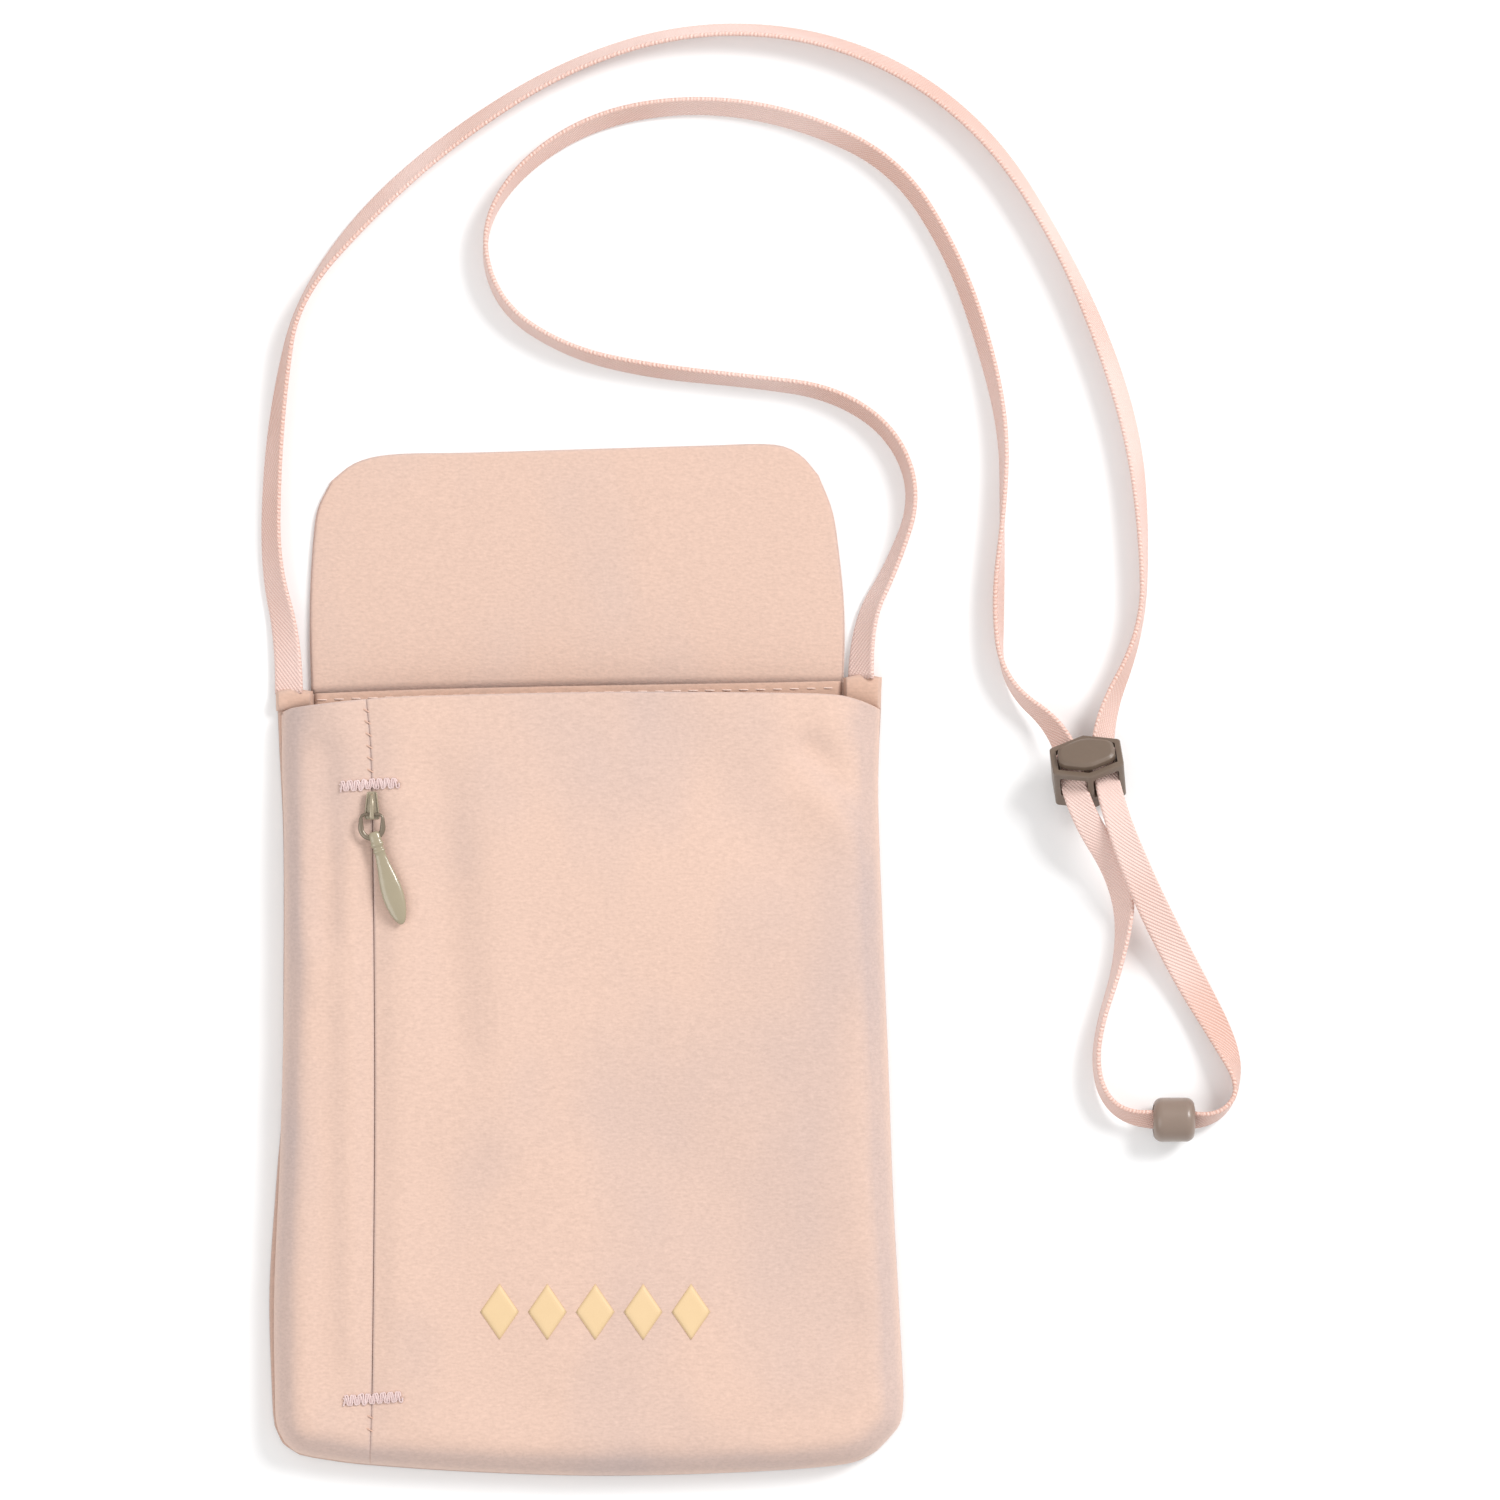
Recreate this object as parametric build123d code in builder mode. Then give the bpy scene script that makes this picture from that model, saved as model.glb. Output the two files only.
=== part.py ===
from build123d import *
import os
from math import cos, pi, radians, sin, tan

os.makedirs("parts", exist_ok=True)

# Neck pouch wallet lying on its back with the flap open. Millimetres, +Z up, mouth towards +Y.
# The origin is under the middle of the pouch and its open flap, on the surface they lie on.

# ---------------------------------------------------------------- pouch
mouth_left = (-52.8, 42.4)
mouth_right = (50.2, 43.0)
mouth_crest = (2.0, 45.6)
hem_left = (-53.6, 45.4)
hem_right = (50.4, 48.0)
waist_left = (-52.6, -8.0)
waist_right = (50.9, -8.0)
base_left = (-54.0, -86.2)
base_right = (54.2, -84.8)
base_crest = (2.0, -89.0)
base_corner_r = 7.0

back_t = 0.8
shell_t = 0.7
front_top = 8.7
front_edge_r = 6.0
mouth_cut = 4.0

divider_z = 6.0
divider_t = 0.4
divider_inset = 2.6

facing_t = 0.3
facing_h = 3.0
tab_w = 6.1
tab_t = 2.0
tab_left_x = -50.55
tab_left_y = (42.8, 45.6)
tab_right_x = 47.0
tab_right_y = (43.6, 48.2)

# ---------------------------------------------------------------- flap
flap_gap = 1.0
flap_layer_t = 0.5
fold_y = 47.5
flap_foot_left = -47.9
flap_foot_right = 43.8
flap_head_left = (-46.8, 86.7)
flap_head_right = (42.1, 88.9)
flap_corner_r = 12.5
flap_lining_inset = 0.8

# ---------------------------------------------------------------- zip
zip_x = -36.9
slit_w = 0.8
zip_top_y = 28.5
zip_bottom_y = -74.5
tape_w = 5.9
tape_t = 0.4
tape_y = (-79.0, 41.0)
coil_gap = 1.0
coil_w = 1.2
coil_z = (7.1, 7.9)

slider_y = (23.9, 28.3)
slider_w = 2.6
slider_lower_w = 4.8
slider_lower_z = (6.6, 7.0)
slider_upper_z = (8.9, 9.5)
slider_neck_w = 0.56
crown_w = 0.9
crown_top_z = 10.6
crown_hole_y = (24.4, 26.4)
crown_hole_top_z = 10.25

link_wire_r = 0.25
link_bar_y = 24.9
link_z = 9.87
link_half_w = 2.0
link_length = 4.1

pull_lean = 17.4
pull_length = 15.6
pull_neck_w = 2.2
pull_wide_w = 4.4
pull_t = 0.95
eyelet_r = 0.72
eyelet_bore_r = 0.42
eyelet_w = 1.3

# ---------------------------------------------------------------- trim
tack_l = 10.3
tack_w = 2.0
tack_t = 0.35
tack_top = (-37.6, 29.9)
tack_bottom = (-36.9, -75.6)
tack_tilt = 4.0
seam_stitch_count = 4
seam_stitch_pitch = 2.6
mouth_stitch_count = 27
mouth_stitch_pitch = 3.3
stitch_w = 0.35
stitch_t = 0.12
emblem_centre = (1.3, -60.3)
emblem_count = 5
emblem_pitch = 8.2
emblem_w = 6.6
emblem_h = 9.6
emblem_t = 0.25

# ---------------------------------------------------------------- cord lock
lock_base = (86.1, 29.6, 2.75)
lock_yaw = 8.0
lock_pitch = 36.0
lock_half_w = 6.1
lock_side_half_d = 2.75
lock_mid_half_d = 4.6
lock_h = 9.0
lock_floor_t = 0.8
lock_wall_t = 1.0
window_x = 2.8
window_w = 4.6
window_z = (2.8, 7.8)
snap_window = (-3.6, 2.0)
button_clearance = 0.25
button_top = 10.4
button_cap_t = 1.4
button_plate_z = (2.8, 3.4)
cheek_x = (4.45, 4.95)
cheek_half_d = 1.5
spring_r = 1.9
spring_wire_r = 0.2
spring_turns = 2.0

# ---------------------------------------------------------------- bead
bead_centre = (100.6, -27.6, 3.8)
bead_l = 7.2
bead_r = 3.8
bead_edge_r = 1.6
bead_slot = (5.4, 3.4)

# ---------------------------------------------------------------- neck strap
# Woven tape, 5 mm wide and 0.75 mm thick, rolled on itself: a round of the same section.
strap_w = 5.0
strap_t = 0.75
strap_r = (strap_w * strap_t / pi) ** 0.5
strap_route = [
    (-51.5, 45.6, 1.8),
    (-51.5, 54.5, 1.8),
    (-54.7, 67.5, 1.9),
    (-54.4, 84.0, 2.1),
    (-52.8, 99.0, 2.2),
    (-50.0, 113.2, 2.5),
    (-38.0, 128.5, 2.1),
    (-22.5, 142.0, 2.2),
    (-4.0, 153.5, 2.4),
    (16.0, 159.9, 2.5),
    (36.5, 159.5, 2.4),
    (54.5, 153.0, 2.2),
    (69.5, 141.0, 2.2),
    (80.5, 124.0, 2.4),
    (88.5, 106.5, 2.2),
    (93.8, 89.5, 2.2),
    (95.5, 73.0, 2.5),
    (95.4, 56.5, 2.6),
    (87.6, 39.5, 4.2),
    (89.4, 27.1, 10.5),
    (95.0, 12.6, 5.4),
    (102.4, -1.8, 2.0),
    (110.0, -15.0, 1.8),
    (112.0, -22.6, 2.6),
    (108.2, -27.6, 3.6),
    (100.6, -27.7, 3.86),
    (91.9, -27.3, 3.6),
    (87.6, -22.3, 2.9),
    (87.2, -13.5, 2.6),
    (91.9, 1.0, 2.6),
    (91.2, 13.5, 5.4),
    (83.6, 26.3, 10.5),
    (81.9, 38.7, 4.2),
    (71.0, 47.5, 2.6),
    (70.3, 61.0, 2.5),
    (71.3, 76.5, 2.6),
    (71.6, 90.5, 2.6),
    (68.3, 105.5, 2.4),
    (62.6, 121.5, 2.3),
    (53.0, 136.5, 2.2),
    (37.0, 144.3, 2.1),
    (19.5, 147.3, 2.2),
    (2.0, 144.8, 2.2),
    (-11.5, 136.5, 2.4),
    (-18.8, 125.0, 2.6),
    (-15.5, 112.0, 2.6),
    (-3.5, 104.3, 2.4),
    (11.0, 101.0, 2.3),
    (27.5, 99.4, 2.4),
    (42.0, 97.5, 2.3),
    (52.5, 90.5, 2.2),
    (56.6, 79.5, 2.5),
    (52.3, 67.5, 2.2),
    (46.9, 57.5, 1.8),
    (46.9, 48.2, 1.8),
]


# ================================================================ pouch
def moved(point, right, up):
    """The point moved by right and up."""
    return (point[0] + right, point[1] + up)


def pouch_outline(inset, mouth_rise):
    """The pouch outline with its sides and base pulled in and its mouth edge raised."""
    left = moved(mouth_left, inset, mouth_rise)
    right = moved(mouth_right, -inset, mouth_rise)
    low_left = moved(base_left, inset, inset)
    low_right = moved(base_right, -inset, inset)
    with BuildSketch() as outline:
        with BuildLine():
            ThreePointArc(left, moved(waist_left, inset, 0), low_left)
            ThreePointArc(low_left, moved(base_crest, 0, inset), low_right)
            ThreePointArc(low_right, moved(waist_right, -inset, 0), right)
            ThreePointArc(right, moved(mouth_crest, 0, mouth_rise), left)
        make_face()
        fillet(outline.vertices().sort_by(Axis.Y)[:2], base_corner_r - inset)
    return outline.sketch


def front_bulk(inset, mouth_rise):
    """The puffed front as a solid block, its side and base edges rounded."""
    with BuildPart() as bulk:
        with BuildSketch(Plane.XY.offset(back_t)):
            add(pouch_outline(inset, mouth_rise))
        extrude(amount=front_top - inset - back_t)
        rim = bulk.edges().group_by(Axis.Z)[-1]
        fillet(rim.sort_by(Axis.Y)[:-1], front_edge_r - inset)
    return bulk.part


with BuildPart() as back_panel:
    with BuildSketch(Plane.XY):
        with BuildLine():
            ThreePointArc(hem_left, waist_left, base_left)
            ThreePointArc(base_left, base_crest, base_right)
            ThreePointArc(base_right, waist_right, hem_right)
            Line(hem_right, hem_left)
        outline = make_face()
        fillet(outline.vertices().sort_by(Axis.Y)[:2], base_corner_r)
    extrude(amount=back_t)

front_outer = front_bulk(0, 0)
front_inner = front_bulk(shell_t, mouth_cut)

with BuildPart() as front_panel_main:
    add(front_outer)
    add(front_inner, mode=Mode.SUBTRACT)
    split(bisect_by=Plane.YZ.offset(zip_x + slit_w / 2), keep=Keep.TOP)

with BuildPart() as front_panel_side:
    add(front_outer)
    add(front_inner, mode=Mode.SUBTRACT)
    split(bisect_by=Plane.YZ.offset(zip_x - slit_w / 2), keep=Keep.BOTTOM)

with BuildPart() as pocket_divider:
    with BuildSketch(Plane.XY.offset(divider_z)):
        add(pouch_outline(divider_inset, -divider_inset))
    extrude(amount=divider_t)


def hem_y(x):
    """Height of the back panel's straight hem at x."""
    slope = (hem_right[1] - hem_left[1]) / (hem_right[0] - hem_left[0])
    return hem_left[1] + slope * (x - hem_left[0])


facing_left_x = tab_left_x + tab_w / 2 + 0.2
facing_right_x = tab_right_x - tab_w / 2 - 0.2

with BuildPart() as mouth_facing:
    with BuildSketch(Plane.XY.offset(back_t)):
        with BuildLine():
            Polyline(
                (facing_left_x, hem_y(facing_left_x) - facing_h),
                (facing_right_x, hem_y(facing_right_x) - facing_h),
                (facing_right_x, hem_y(facing_right_x)),
                (facing_left_x, hem_y(facing_left_x)),
                close=True,
            )
        make_face()
    extrude(amount=facing_t)


def strap_tab(centre_x, foot_y, head_y):
    """A flattened sleeve of folded fabric that grips one end of the strap."""
    head = Plane(origin=(centre_x, head_y, back_t + tab_t / 2), x_dir=(1, 0, 0), z_dir=(0, 1, 0))
    with BuildPart() as tab:
        with BuildSketch(head):
            RectangleRounded(tab_w, tab_t, 0.7)
        extrude(amount=foot_y - head_y)
    return tab


strap_tab_left = strap_tab(tab_left_x, tab_left_y[0], tab_left_y[1])
strap_tab_right = strap_tab(tab_right_x, tab_right_y[0], tab_right_y[1])


# ================================================================ flap
def flap_layer(z, inset):
    """One cloth layer of the flap, open and flat on the surface."""
    foot_y = fold_y + flap_gap
    with BuildPart() as layer:
        with BuildSketch(Plane.XY.offset(z)):
            with BuildLine():
                Polyline(
                    (flap_foot_left + inset, foot_y),
                    (flap_foot_right - inset, foot_y),
                    (flap_head_right[0] - inset, flap_head_right[1] - inset),
                    (flap_head_left[0] + inset, flap_head_left[1] - inset),
                    close=True,
                )
            outline = make_face()
            fillet(outline.vertices().sort_by(Axis.Y)[-2:], flap_corner_r - inset)
        extrude(amount=flap_layer_t)
    return layer


flap_outer = flap_layer(0.0, 0.0)
flap_inner = flap_layer(flap_layer_t, flap_lining_inset)


# ================================================================ zip
def zip_tape(side):
    """Woven tape behind one edge of the opening, side -1 or +1."""
    inner_x = coil_gap / 2 + coil_w
    centre_x = zip_x + side * (inner_x + tape_w / 2)
    with BuildPart() as tape:
        with BuildSketch(Plane.XY.offset(front_top - shell_t - tape_t)):
            with Locations((centre_x, sum(tape_y) / 2)):
                Rectangle(tape_w, tape_y[1] - tape_y[0])
        extrude(amount=tape_t)
    return tape


def zip_coil(side):
    """The nylon coil along one tape, as a plain bar with rounded edges."""
    centre_x = zip_x + side * (coil_gap + coil_w) / 2
    with BuildPart() as coil:
        with BuildSketch(Plane.XY.offset(coil_z[0])):
            with Locations((centre_x, (zip_bottom_y + zip_top_y) / 2)):
                Rectangle(coil_w, zip_top_y - zip_bottom_y)
        extrude(amount=coil_z[1] - coil_z[0])
        inner_edges = coil.edges().filter_by(Axis.Y).sort_by(Axis.X)
        fillet(inner_edges[:2] if side > 0 else inner_edges[-2:], 0.3)
    return coil


zip_tape_left = zip_tape(-1)
zip_tape_right = zip_tape(1)
zip_coil_left = zip_coil(-1)
zip_coil_right = zip_coil(1)

slider_mid_y = sum(slider_y) / 2
slider_l = slider_y[1] - slider_y[0]

with BuildPart() as zip_slider:
    with BuildSketch(Plane.XY.offset(slider_lower_z[0])):
        with Locations((zip_x, slider_mid_y)):
            RectangleRounded(slider_lower_w, slider_l, 0.8)
    extrude(amount=slider_lower_z[1] - slider_lower_z[0])
    with BuildSketch(Plane.XY.offset(slider_lower_z[1])):
        with Locations((zip_x, slider_mid_y)):
            SlotOverall(slider_l - 1.4, slider_neck_w, rotation=90)
    extrude(amount=slider_upper_z[0] - slider_lower_z[1])
    with BuildSketch(Plane.XY.offset(slider_upper_z[0])):
        with BuildLine():
            Polyline(
                (zip_x - slider_w / 2, slider_y[0]),
                (zip_x + slider_w / 2, slider_y[0]),
                (zip_x + slider_w * 0.36, slider_y[1]),
                (zip_x - slider_w * 0.36, slider_y[1]),
                close=True,
            )
        plate = make_face()
        fillet(plate.vertices(), 0.45)
    extrude(amount=slider_upper_z[1] - slider_upper_z[0])
    with BuildSketch(Plane.YZ.offset(zip_x - crown_w / 2)):
        with BuildLine():
            Polyline(
                (slider_y[0] + 0.1, slider_upper_z[1]),
                (slider_y[0] + 0.1, crown_top_z),
                (slider_y[1] - 0.9, crown_top_z),
                (slider_y[1] - 0.2, slider_upper_z[1]),
                close=True,
            )
        arch = make_face()
        fillet(arch.vertices().group_by(Axis.Y)[-1], 0.45)
    extrude(amount=crown_w)
    with BuildSketch(Plane.YZ.offset(zip_x - crown_w)):
        with Locations((sum(crown_hole_y) / 2, (slider_upper_z[1] + crown_hole_top_z) / 2)):
            Rectangle(crown_hole_y[1] - crown_hole_y[0], crown_hole_top_z - slider_upper_z[1])
    extrude(amount=2 * crown_w, mode=Mode.SUBTRACT)

link_foot_y = link_bar_y - link_length + link_half_w
with BuildPart() as zip_pull_link:
    with BuildLine(Plane.XY.offset(link_z)) as link_path:
        bar = Line((zip_x, link_bar_y), (zip_x + link_half_w - 0.5, link_bar_y))
        RadiusArc(bar @ 1, (zip_x + link_half_w, link_bar_y - 0.5), 0.5)
        Line((zip_x + link_half_w, link_bar_y - 0.5), (zip_x + link_half_w, link_foot_y))
        ThreePointArc(
            (zip_x + link_half_w, link_foot_y),
            (zip_x, link_foot_y - link_half_w),
            (zip_x - link_half_w, link_foot_y),
        )
        Line((zip_x - link_half_w, link_foot_y), (zip_x - link_half_w, link_bar_y - 0.5))
        RadiusArc(
            (zip_x - link_half_w, link_bar_y - 0.5),
            (zip_x - link_half_w + 0.5, link_bar_y),
            0.5,
        )
        Line((zip_x - link_half_w + 0.5, link_bar_y), (zip_x, link_bar_y))
    with BuildSketch(Plane(origin=(zip_x, link_bar_y, link_z), x_dir=(0, 1, 0), z_dir=(1, 0, 0))):
        Circle(link_wire_r)
    sweep(path=link_path.wires()[0])

# The pull hangs on the ring's round foot, where the wire runs square to the pull's lean.
lean = radians(pull_lean)
eyelet_at = (
    zip_x + link_half_w * sin(lean),
    link_foot_y - link_half_w * cos(lean),
    link_z,
)
pull_plane = Plane(origin=eyelet_at, x_dir=(cos(lean), sin(lean), 0), z_dir=(0, 0, 1))
eyelet_plane = Plane(
    origin=eyelet_at, x_dir=(sin(lean), -cos(lean), 0), z_dir=(cos(lean), sin(lean), 0)
)

with BuildPart() as zip_pull_tab:
    with BuildSketch(pull_plane.offset(-pull_t / 2)):
        with BuildLine():
            neck = Line((eyelet_w / 2, 0), (pull_neck_w / 2, -1.6))
            flare = Spline(
                neck @ 1,
                (pull_wide_w / 2, 2.2 - pull_length),
                tangents=((0, -1), (0.08, -1)),
            )
            ThreePointArc(flare @ 1, (0, -pull_length), (-pull_wide_w / 2, 2.2 - pull_length))
            Spline(
                (-pull_wide_w / 2, 2.2 - pull_length),
                (-pull_neck_w / 2, -1.6),
                tangents=((0.08, 1), (0, 1)),
            )
            Line((-pull_neck_w / 2, -1.6), (-eyelet_w / 2, 0))
            Line((-eyelet_w / 2, 0), (eyelet_w / 2, 0))
        make_face()
    extrude(amount=pull_t)
    with BuildSketch(eyelet_plane.offset(-eyelet_w / 2)):
        Circle(eyelet_r)
    extrude(amount=eyelet_w)
    with BuildSketch(eyelet_plane.offset(-eyelet_w)):
        Circle(eyelet_bore_r)
    extrude(amount=2 * eyelet_w, mode=Mode.SUBTRACT)


# ================================================================ trim
def bar_tack(centre):
    """A dense zigzag of thread that closes one end of the zip."""
    with BuildPart() as tack:
        with BuildSketch(Plane.XY.offset(front_top)):
            with Locations(Location((centre[0], centre[1], 0), (0, 0, tack_tilt))):
                SlotOverall(tack_l, tack_w)
        extrude(amount=tack_t)
    return tack


bar_tack_top = bar_tack(tack_top)
bar_tack_bottom = bar_tack(tack_bottom)

with BuildPart() as seam_stitches:
    with BuildSketch(Plane.XY.offset(front_top)):
        for row in range(seam_stitch_count):
            with Locations((zip_x, tack_top[1] + (row + 1) * seam_stitch_pitch)):
                SlotOverall(2.2, stitch_w)
    extrude(amount=stitch_t)

stitch_span = (mouth_stitch_count - 1) * mouth_stitch_pitch
first_stitch_x = (facing_left_x + facing_right_x - stitch_span) / 2
with BuildPart() as mouth_stitches:
    with BuildSketch(Plane.XY.offset(back_t + facing_t)):
        for place in range(mouth_stitch_count):
            stitch_x = first_stitch_x + place * mouth_stitch_pitch
            with Locations((stitch_x, hem_y(stitch_x) - 1.0)):
                SlotOverall(2.0, stitch_w)
    extrude(amount=stitch_t)

with BuildPart() as emblem:
    with BuildSketch(Plane.XY.offset(front_top)):
        for place in range(emblem_count):
            lozenge_x = emblem_centre[0] + (place - (emblem_count - 1) / 2) * emblem_pitch
            with BuildLine():
                Polyline(
                    (lozenge_x - emblem_w / 2, emblem_centre[1]),
                    (lozenge_x, emblem_centre[1] - emblem_h / 2),
                    (lozenge_x + emblem_w / 2, emblem_centre[1]),
                    (lozenge_x, emblem_centre[1] + emblem_h / 2),
                    close=True,
                )
            make_face()
    extrude(amount=emblem_t)


# ================================================================ cord lock
yaw = radians(lock_yaw)
pitch = radians(lock_pitch)
lock_x_dir = (cos(yaw), sin(yaw), 0)
lock_z_dir = (-sin(yaw) * sin(pitch), cos(yaw) * sin(pitch), cos(pitch))
lock_plane = Plane(origin=lock_base, x_dir=lock_x_dir, z_dir=lock_z_dir)


def lock_hexagon(shrink):
    """The lock's six-sided plan, pulled in by shrink, as a flat sketch."""
    with BuildSketch() as hexagon:
        with BuildLine():
            Polyline(
                (lock_half_w, lock_side_half_d),
                (0, lock_mid_half_d),
                (-lock_half_w, lock_side_half_d),
                (-lock_half_w, -lock_side_half_d),
                (0, -lock_mid_half_d),
                (lock_half_w, -lock_side_half_d),
                close=True,
            )
        make_face()
        if shrink:
            offset(amount=-shrink, kind=Kind.INTERSECTION)
    return hexagon.sketch


def faces_up(piece):
    """The faces of a lock piece that look along the press axis."""
    return piece.faces().filter_by(lambda f: f.normal_at().dot(lock_plane.z_dir) > 0.99)


through_plane = Plane(
    origin=lock_plane.from_local_coords((0, -2 * lock_mid_half_d, 0)),
    x_dir=lock_x_dir,
    z_dir=lock_plane.y_dir,
)

with BuildPart() as lock_housing:
    with BuildSketch(lock_plane):
        add(lock_hexagon(0))
    extrude(amount=lock_h)
    fillet(lock_housing.edges().filter_by(lambda e: abs(e.length - lock_h) < 0.01), 0.7)
    chamfer(faces_up(lock_housing).edges(), 0.2)
    with BuildSketch(lock_plane.offset(lock_floor_t)):
        add(lock_hexagon(lock_wall_t))
    extrude(amount=lock_h, mode=Mode.SUBTRACT)
    with BuildSketch(through_plane):
        for side in (-1, 1):
            with Locations((side * window_x, -sum(window_z) / 2)):
                RectangleRounded(window_w, window_z[1] - window_z[0], 0.5)
    extrude(amount=4 * lock_mid_half_d, mode=Mode.SUBTRACT)
    with BuildSketch(through_plane):
        with Locations((snap_window[0], -snap_window[1])):
            Rectangle(2.2, 1.0)
    extrude(amount=2 * lock_mid_half_d, mode=Mode.SUBTRACT)

button_shrink = lock_wall_t + button_clearance
with BuildPart() as lock_button:
    with BuildSketch(lock_plane.offset(button_top - button_cap_t)):
        add(lock_hexagon(button_shrink))
    extrude(amount=button_cap_t)
    fillet(faces_up(lock_button).edges(), 0.45)
    with BuildSketch(lock_plane.offset(button_plate_z[0])):
        add(lock_hexagon(button_shrink))
    extrude(amount=button_plate_z[1] - button_plate_z[0])
    with BuildSketch(lock_plane.offset(button_plate_z[1])):
        for side in (-1, 1):
            with Locations((side * sum(cheek_x) / 2, 0)):
                Rectangle(cheek_x[1] - cheek_x[0], 2 * cheek_half_d)
    extrude(amount=button_top - button_cap_t - button_plate_z[1])

spring_l = button_plate_z[0] - lock_floor_t - 2 * spring_wire_r
spring_foot = lock_plane.from_local_coords((0, 0, lock_floor_t + spring_wire_r))
with BuildPart() as lock_spring:
    with BuildLine() as coil_path:
        Helix(spring_l / spring_turns, spring_l, spring_r, center=spring_foot, direction=lock_z_dir)
    coil_edge = coil_path.edges()[0]
    with BuildSketch(Plane(origin=coil_edge @ 0, z_dir=coil_edge % 0)):
        Circle(spring_wire_r)
    sweep(path=coil_path.wires()[0], is_frenet=True)

# ================================================================ bead
bead_plane = Plane(
    origin=(bead_centre[0] - bead_l / 2, bead_centre[1], bead_centre[2]),
    x_dir=(0, 1, 0),
    z_dir=(1, 0, 0),
)
with BuildPart() as strap_bead:
    with BuildSketch(bead_plane):
        Circle(bead_r)
    extrude(amount=bead_l)
    fillet(strap_bead.edges().filter_by(GeomType.CIRCLE), bead_edge_r)
    with BuildSketch(bead_plane):
        RectangleRounded(bead_slot[0], bead_slot[1], 0.8)
    extrude(amount=bead_l, mode=Mode.SUBTRACT)


# ================================================================ neck strap
def bend_radii(route):
    """Radius at each inner point: 0.45 of the shorter run over the tangent of half the turn."""
    points = [Vector(*p) for p in route]
    radii = []
    for before, here, after in zip(points, points[1:], points[2:]):
        run_in = here - before
        run_out = after - here
        half_turn = radians(run_in.get_angle(run_out)) / 2
        radii.append(0.45 * min(run_in.length, run_out.length) / tan(half_turn))
    return radii


strap_radii = bend_radii(strap_route)
with BuildPart() as neck_strap:
    with BuildLine() as strap_path:
        FilletPolyline(*strap_route, radius=strap_radii)
    path_start = strap_path.wires()[0]
    with BuildSketch(Plane(origin=path_start @ 0, z_dir=path_start % 0)):
        Circle(strap_r)
    sweep(path=path_start)

strap_length = strap_path.wires()[0].length
print("strap radii mm:", " ".join(f"{r:.1f}" for r in strap_radii))
print(f"strap length {strap_length:.1f} mm, section {pi * strap_r ** 2:.2f} mm2")
strap_section = pi * strap_r ** 2
print(f"strap volume {neck_strap.part.volume:.0f} mm3")
print(f"length x section {strap_length * strap_section:.0f} mm3")

# ================================================================ files
pieces = {
    "back_panel": back_panel,
    "mouth_facing": mouth_facing,
    "strap_tab_left": strap_tab_left,
    "strap_tab_right": strap_tab_right,
    "front_panel_main": front_panel_main,
    "front_panel_side": front_panel_side,
    "pocket_divider": pocket_divider,
    "flap_outer": flap_outer,
    "flap_inner": flap_inner,
    "zip_tape_left": zip_tape_left,
    "zip_tape_right": zip_tape_right,
    "zip_coil_left": zip_coil_left,
    "zip_coil_right": zip_coil_right,
    "zip_slider": zip_slider,
    "zip_pull_link": zip_pull_link,
    "zip_pull_tab": zip_pull_tab,
    "bar_tack_top": bar_tack_top,
    "bar_tack_bottom": bar_tack_bottom,
    "seam_stitches": seam_stitches,
    "mouth_stitches": mouth_stitches,
    "emblem": emblem,
    "lock_housing": lock_housing,
    "lock_button": lock_button,
    "lock_spring": lock_spring,
    "strap_bead": strap_bead,
    "neck_strap": neck_strap,
}
for name, piece in pieces.items():
    piece.part.label = name
    export_step(piece.part, f"parts/{name}.step")
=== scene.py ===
import math

import bpy
import numpy as np
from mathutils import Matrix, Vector, noise


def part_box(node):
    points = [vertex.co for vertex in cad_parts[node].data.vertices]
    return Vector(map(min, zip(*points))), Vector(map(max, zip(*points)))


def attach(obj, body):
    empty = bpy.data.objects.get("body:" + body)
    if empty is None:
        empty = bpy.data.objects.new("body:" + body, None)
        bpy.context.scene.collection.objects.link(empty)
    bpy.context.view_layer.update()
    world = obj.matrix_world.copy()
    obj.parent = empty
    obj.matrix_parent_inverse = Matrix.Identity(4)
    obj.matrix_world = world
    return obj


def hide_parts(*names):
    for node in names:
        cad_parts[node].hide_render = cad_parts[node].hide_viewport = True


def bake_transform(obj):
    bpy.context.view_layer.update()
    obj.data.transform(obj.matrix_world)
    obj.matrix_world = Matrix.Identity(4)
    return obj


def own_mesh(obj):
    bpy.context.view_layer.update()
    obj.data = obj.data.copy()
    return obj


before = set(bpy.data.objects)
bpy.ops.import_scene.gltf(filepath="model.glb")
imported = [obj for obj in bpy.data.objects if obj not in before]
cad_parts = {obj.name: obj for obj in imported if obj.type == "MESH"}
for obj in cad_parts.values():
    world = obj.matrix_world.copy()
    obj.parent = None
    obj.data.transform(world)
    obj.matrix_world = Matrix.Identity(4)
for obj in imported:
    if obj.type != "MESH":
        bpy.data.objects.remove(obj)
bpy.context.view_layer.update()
MM = 0.001

# ================================================================ sizes, in mm
PLATEAU_Z = 8.7        # top of the puffed front
SEAM_Z = 0.85          # where front and back are sewn together
EDGE_R = 6.0           # round between the seam and the plateau
MOUTH_EXTRA_R = 5.0    # added to that round at the mouth
CLOTH_T = 0.45
BACK_T = 0.8           # height of the back panel's upper face

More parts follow.
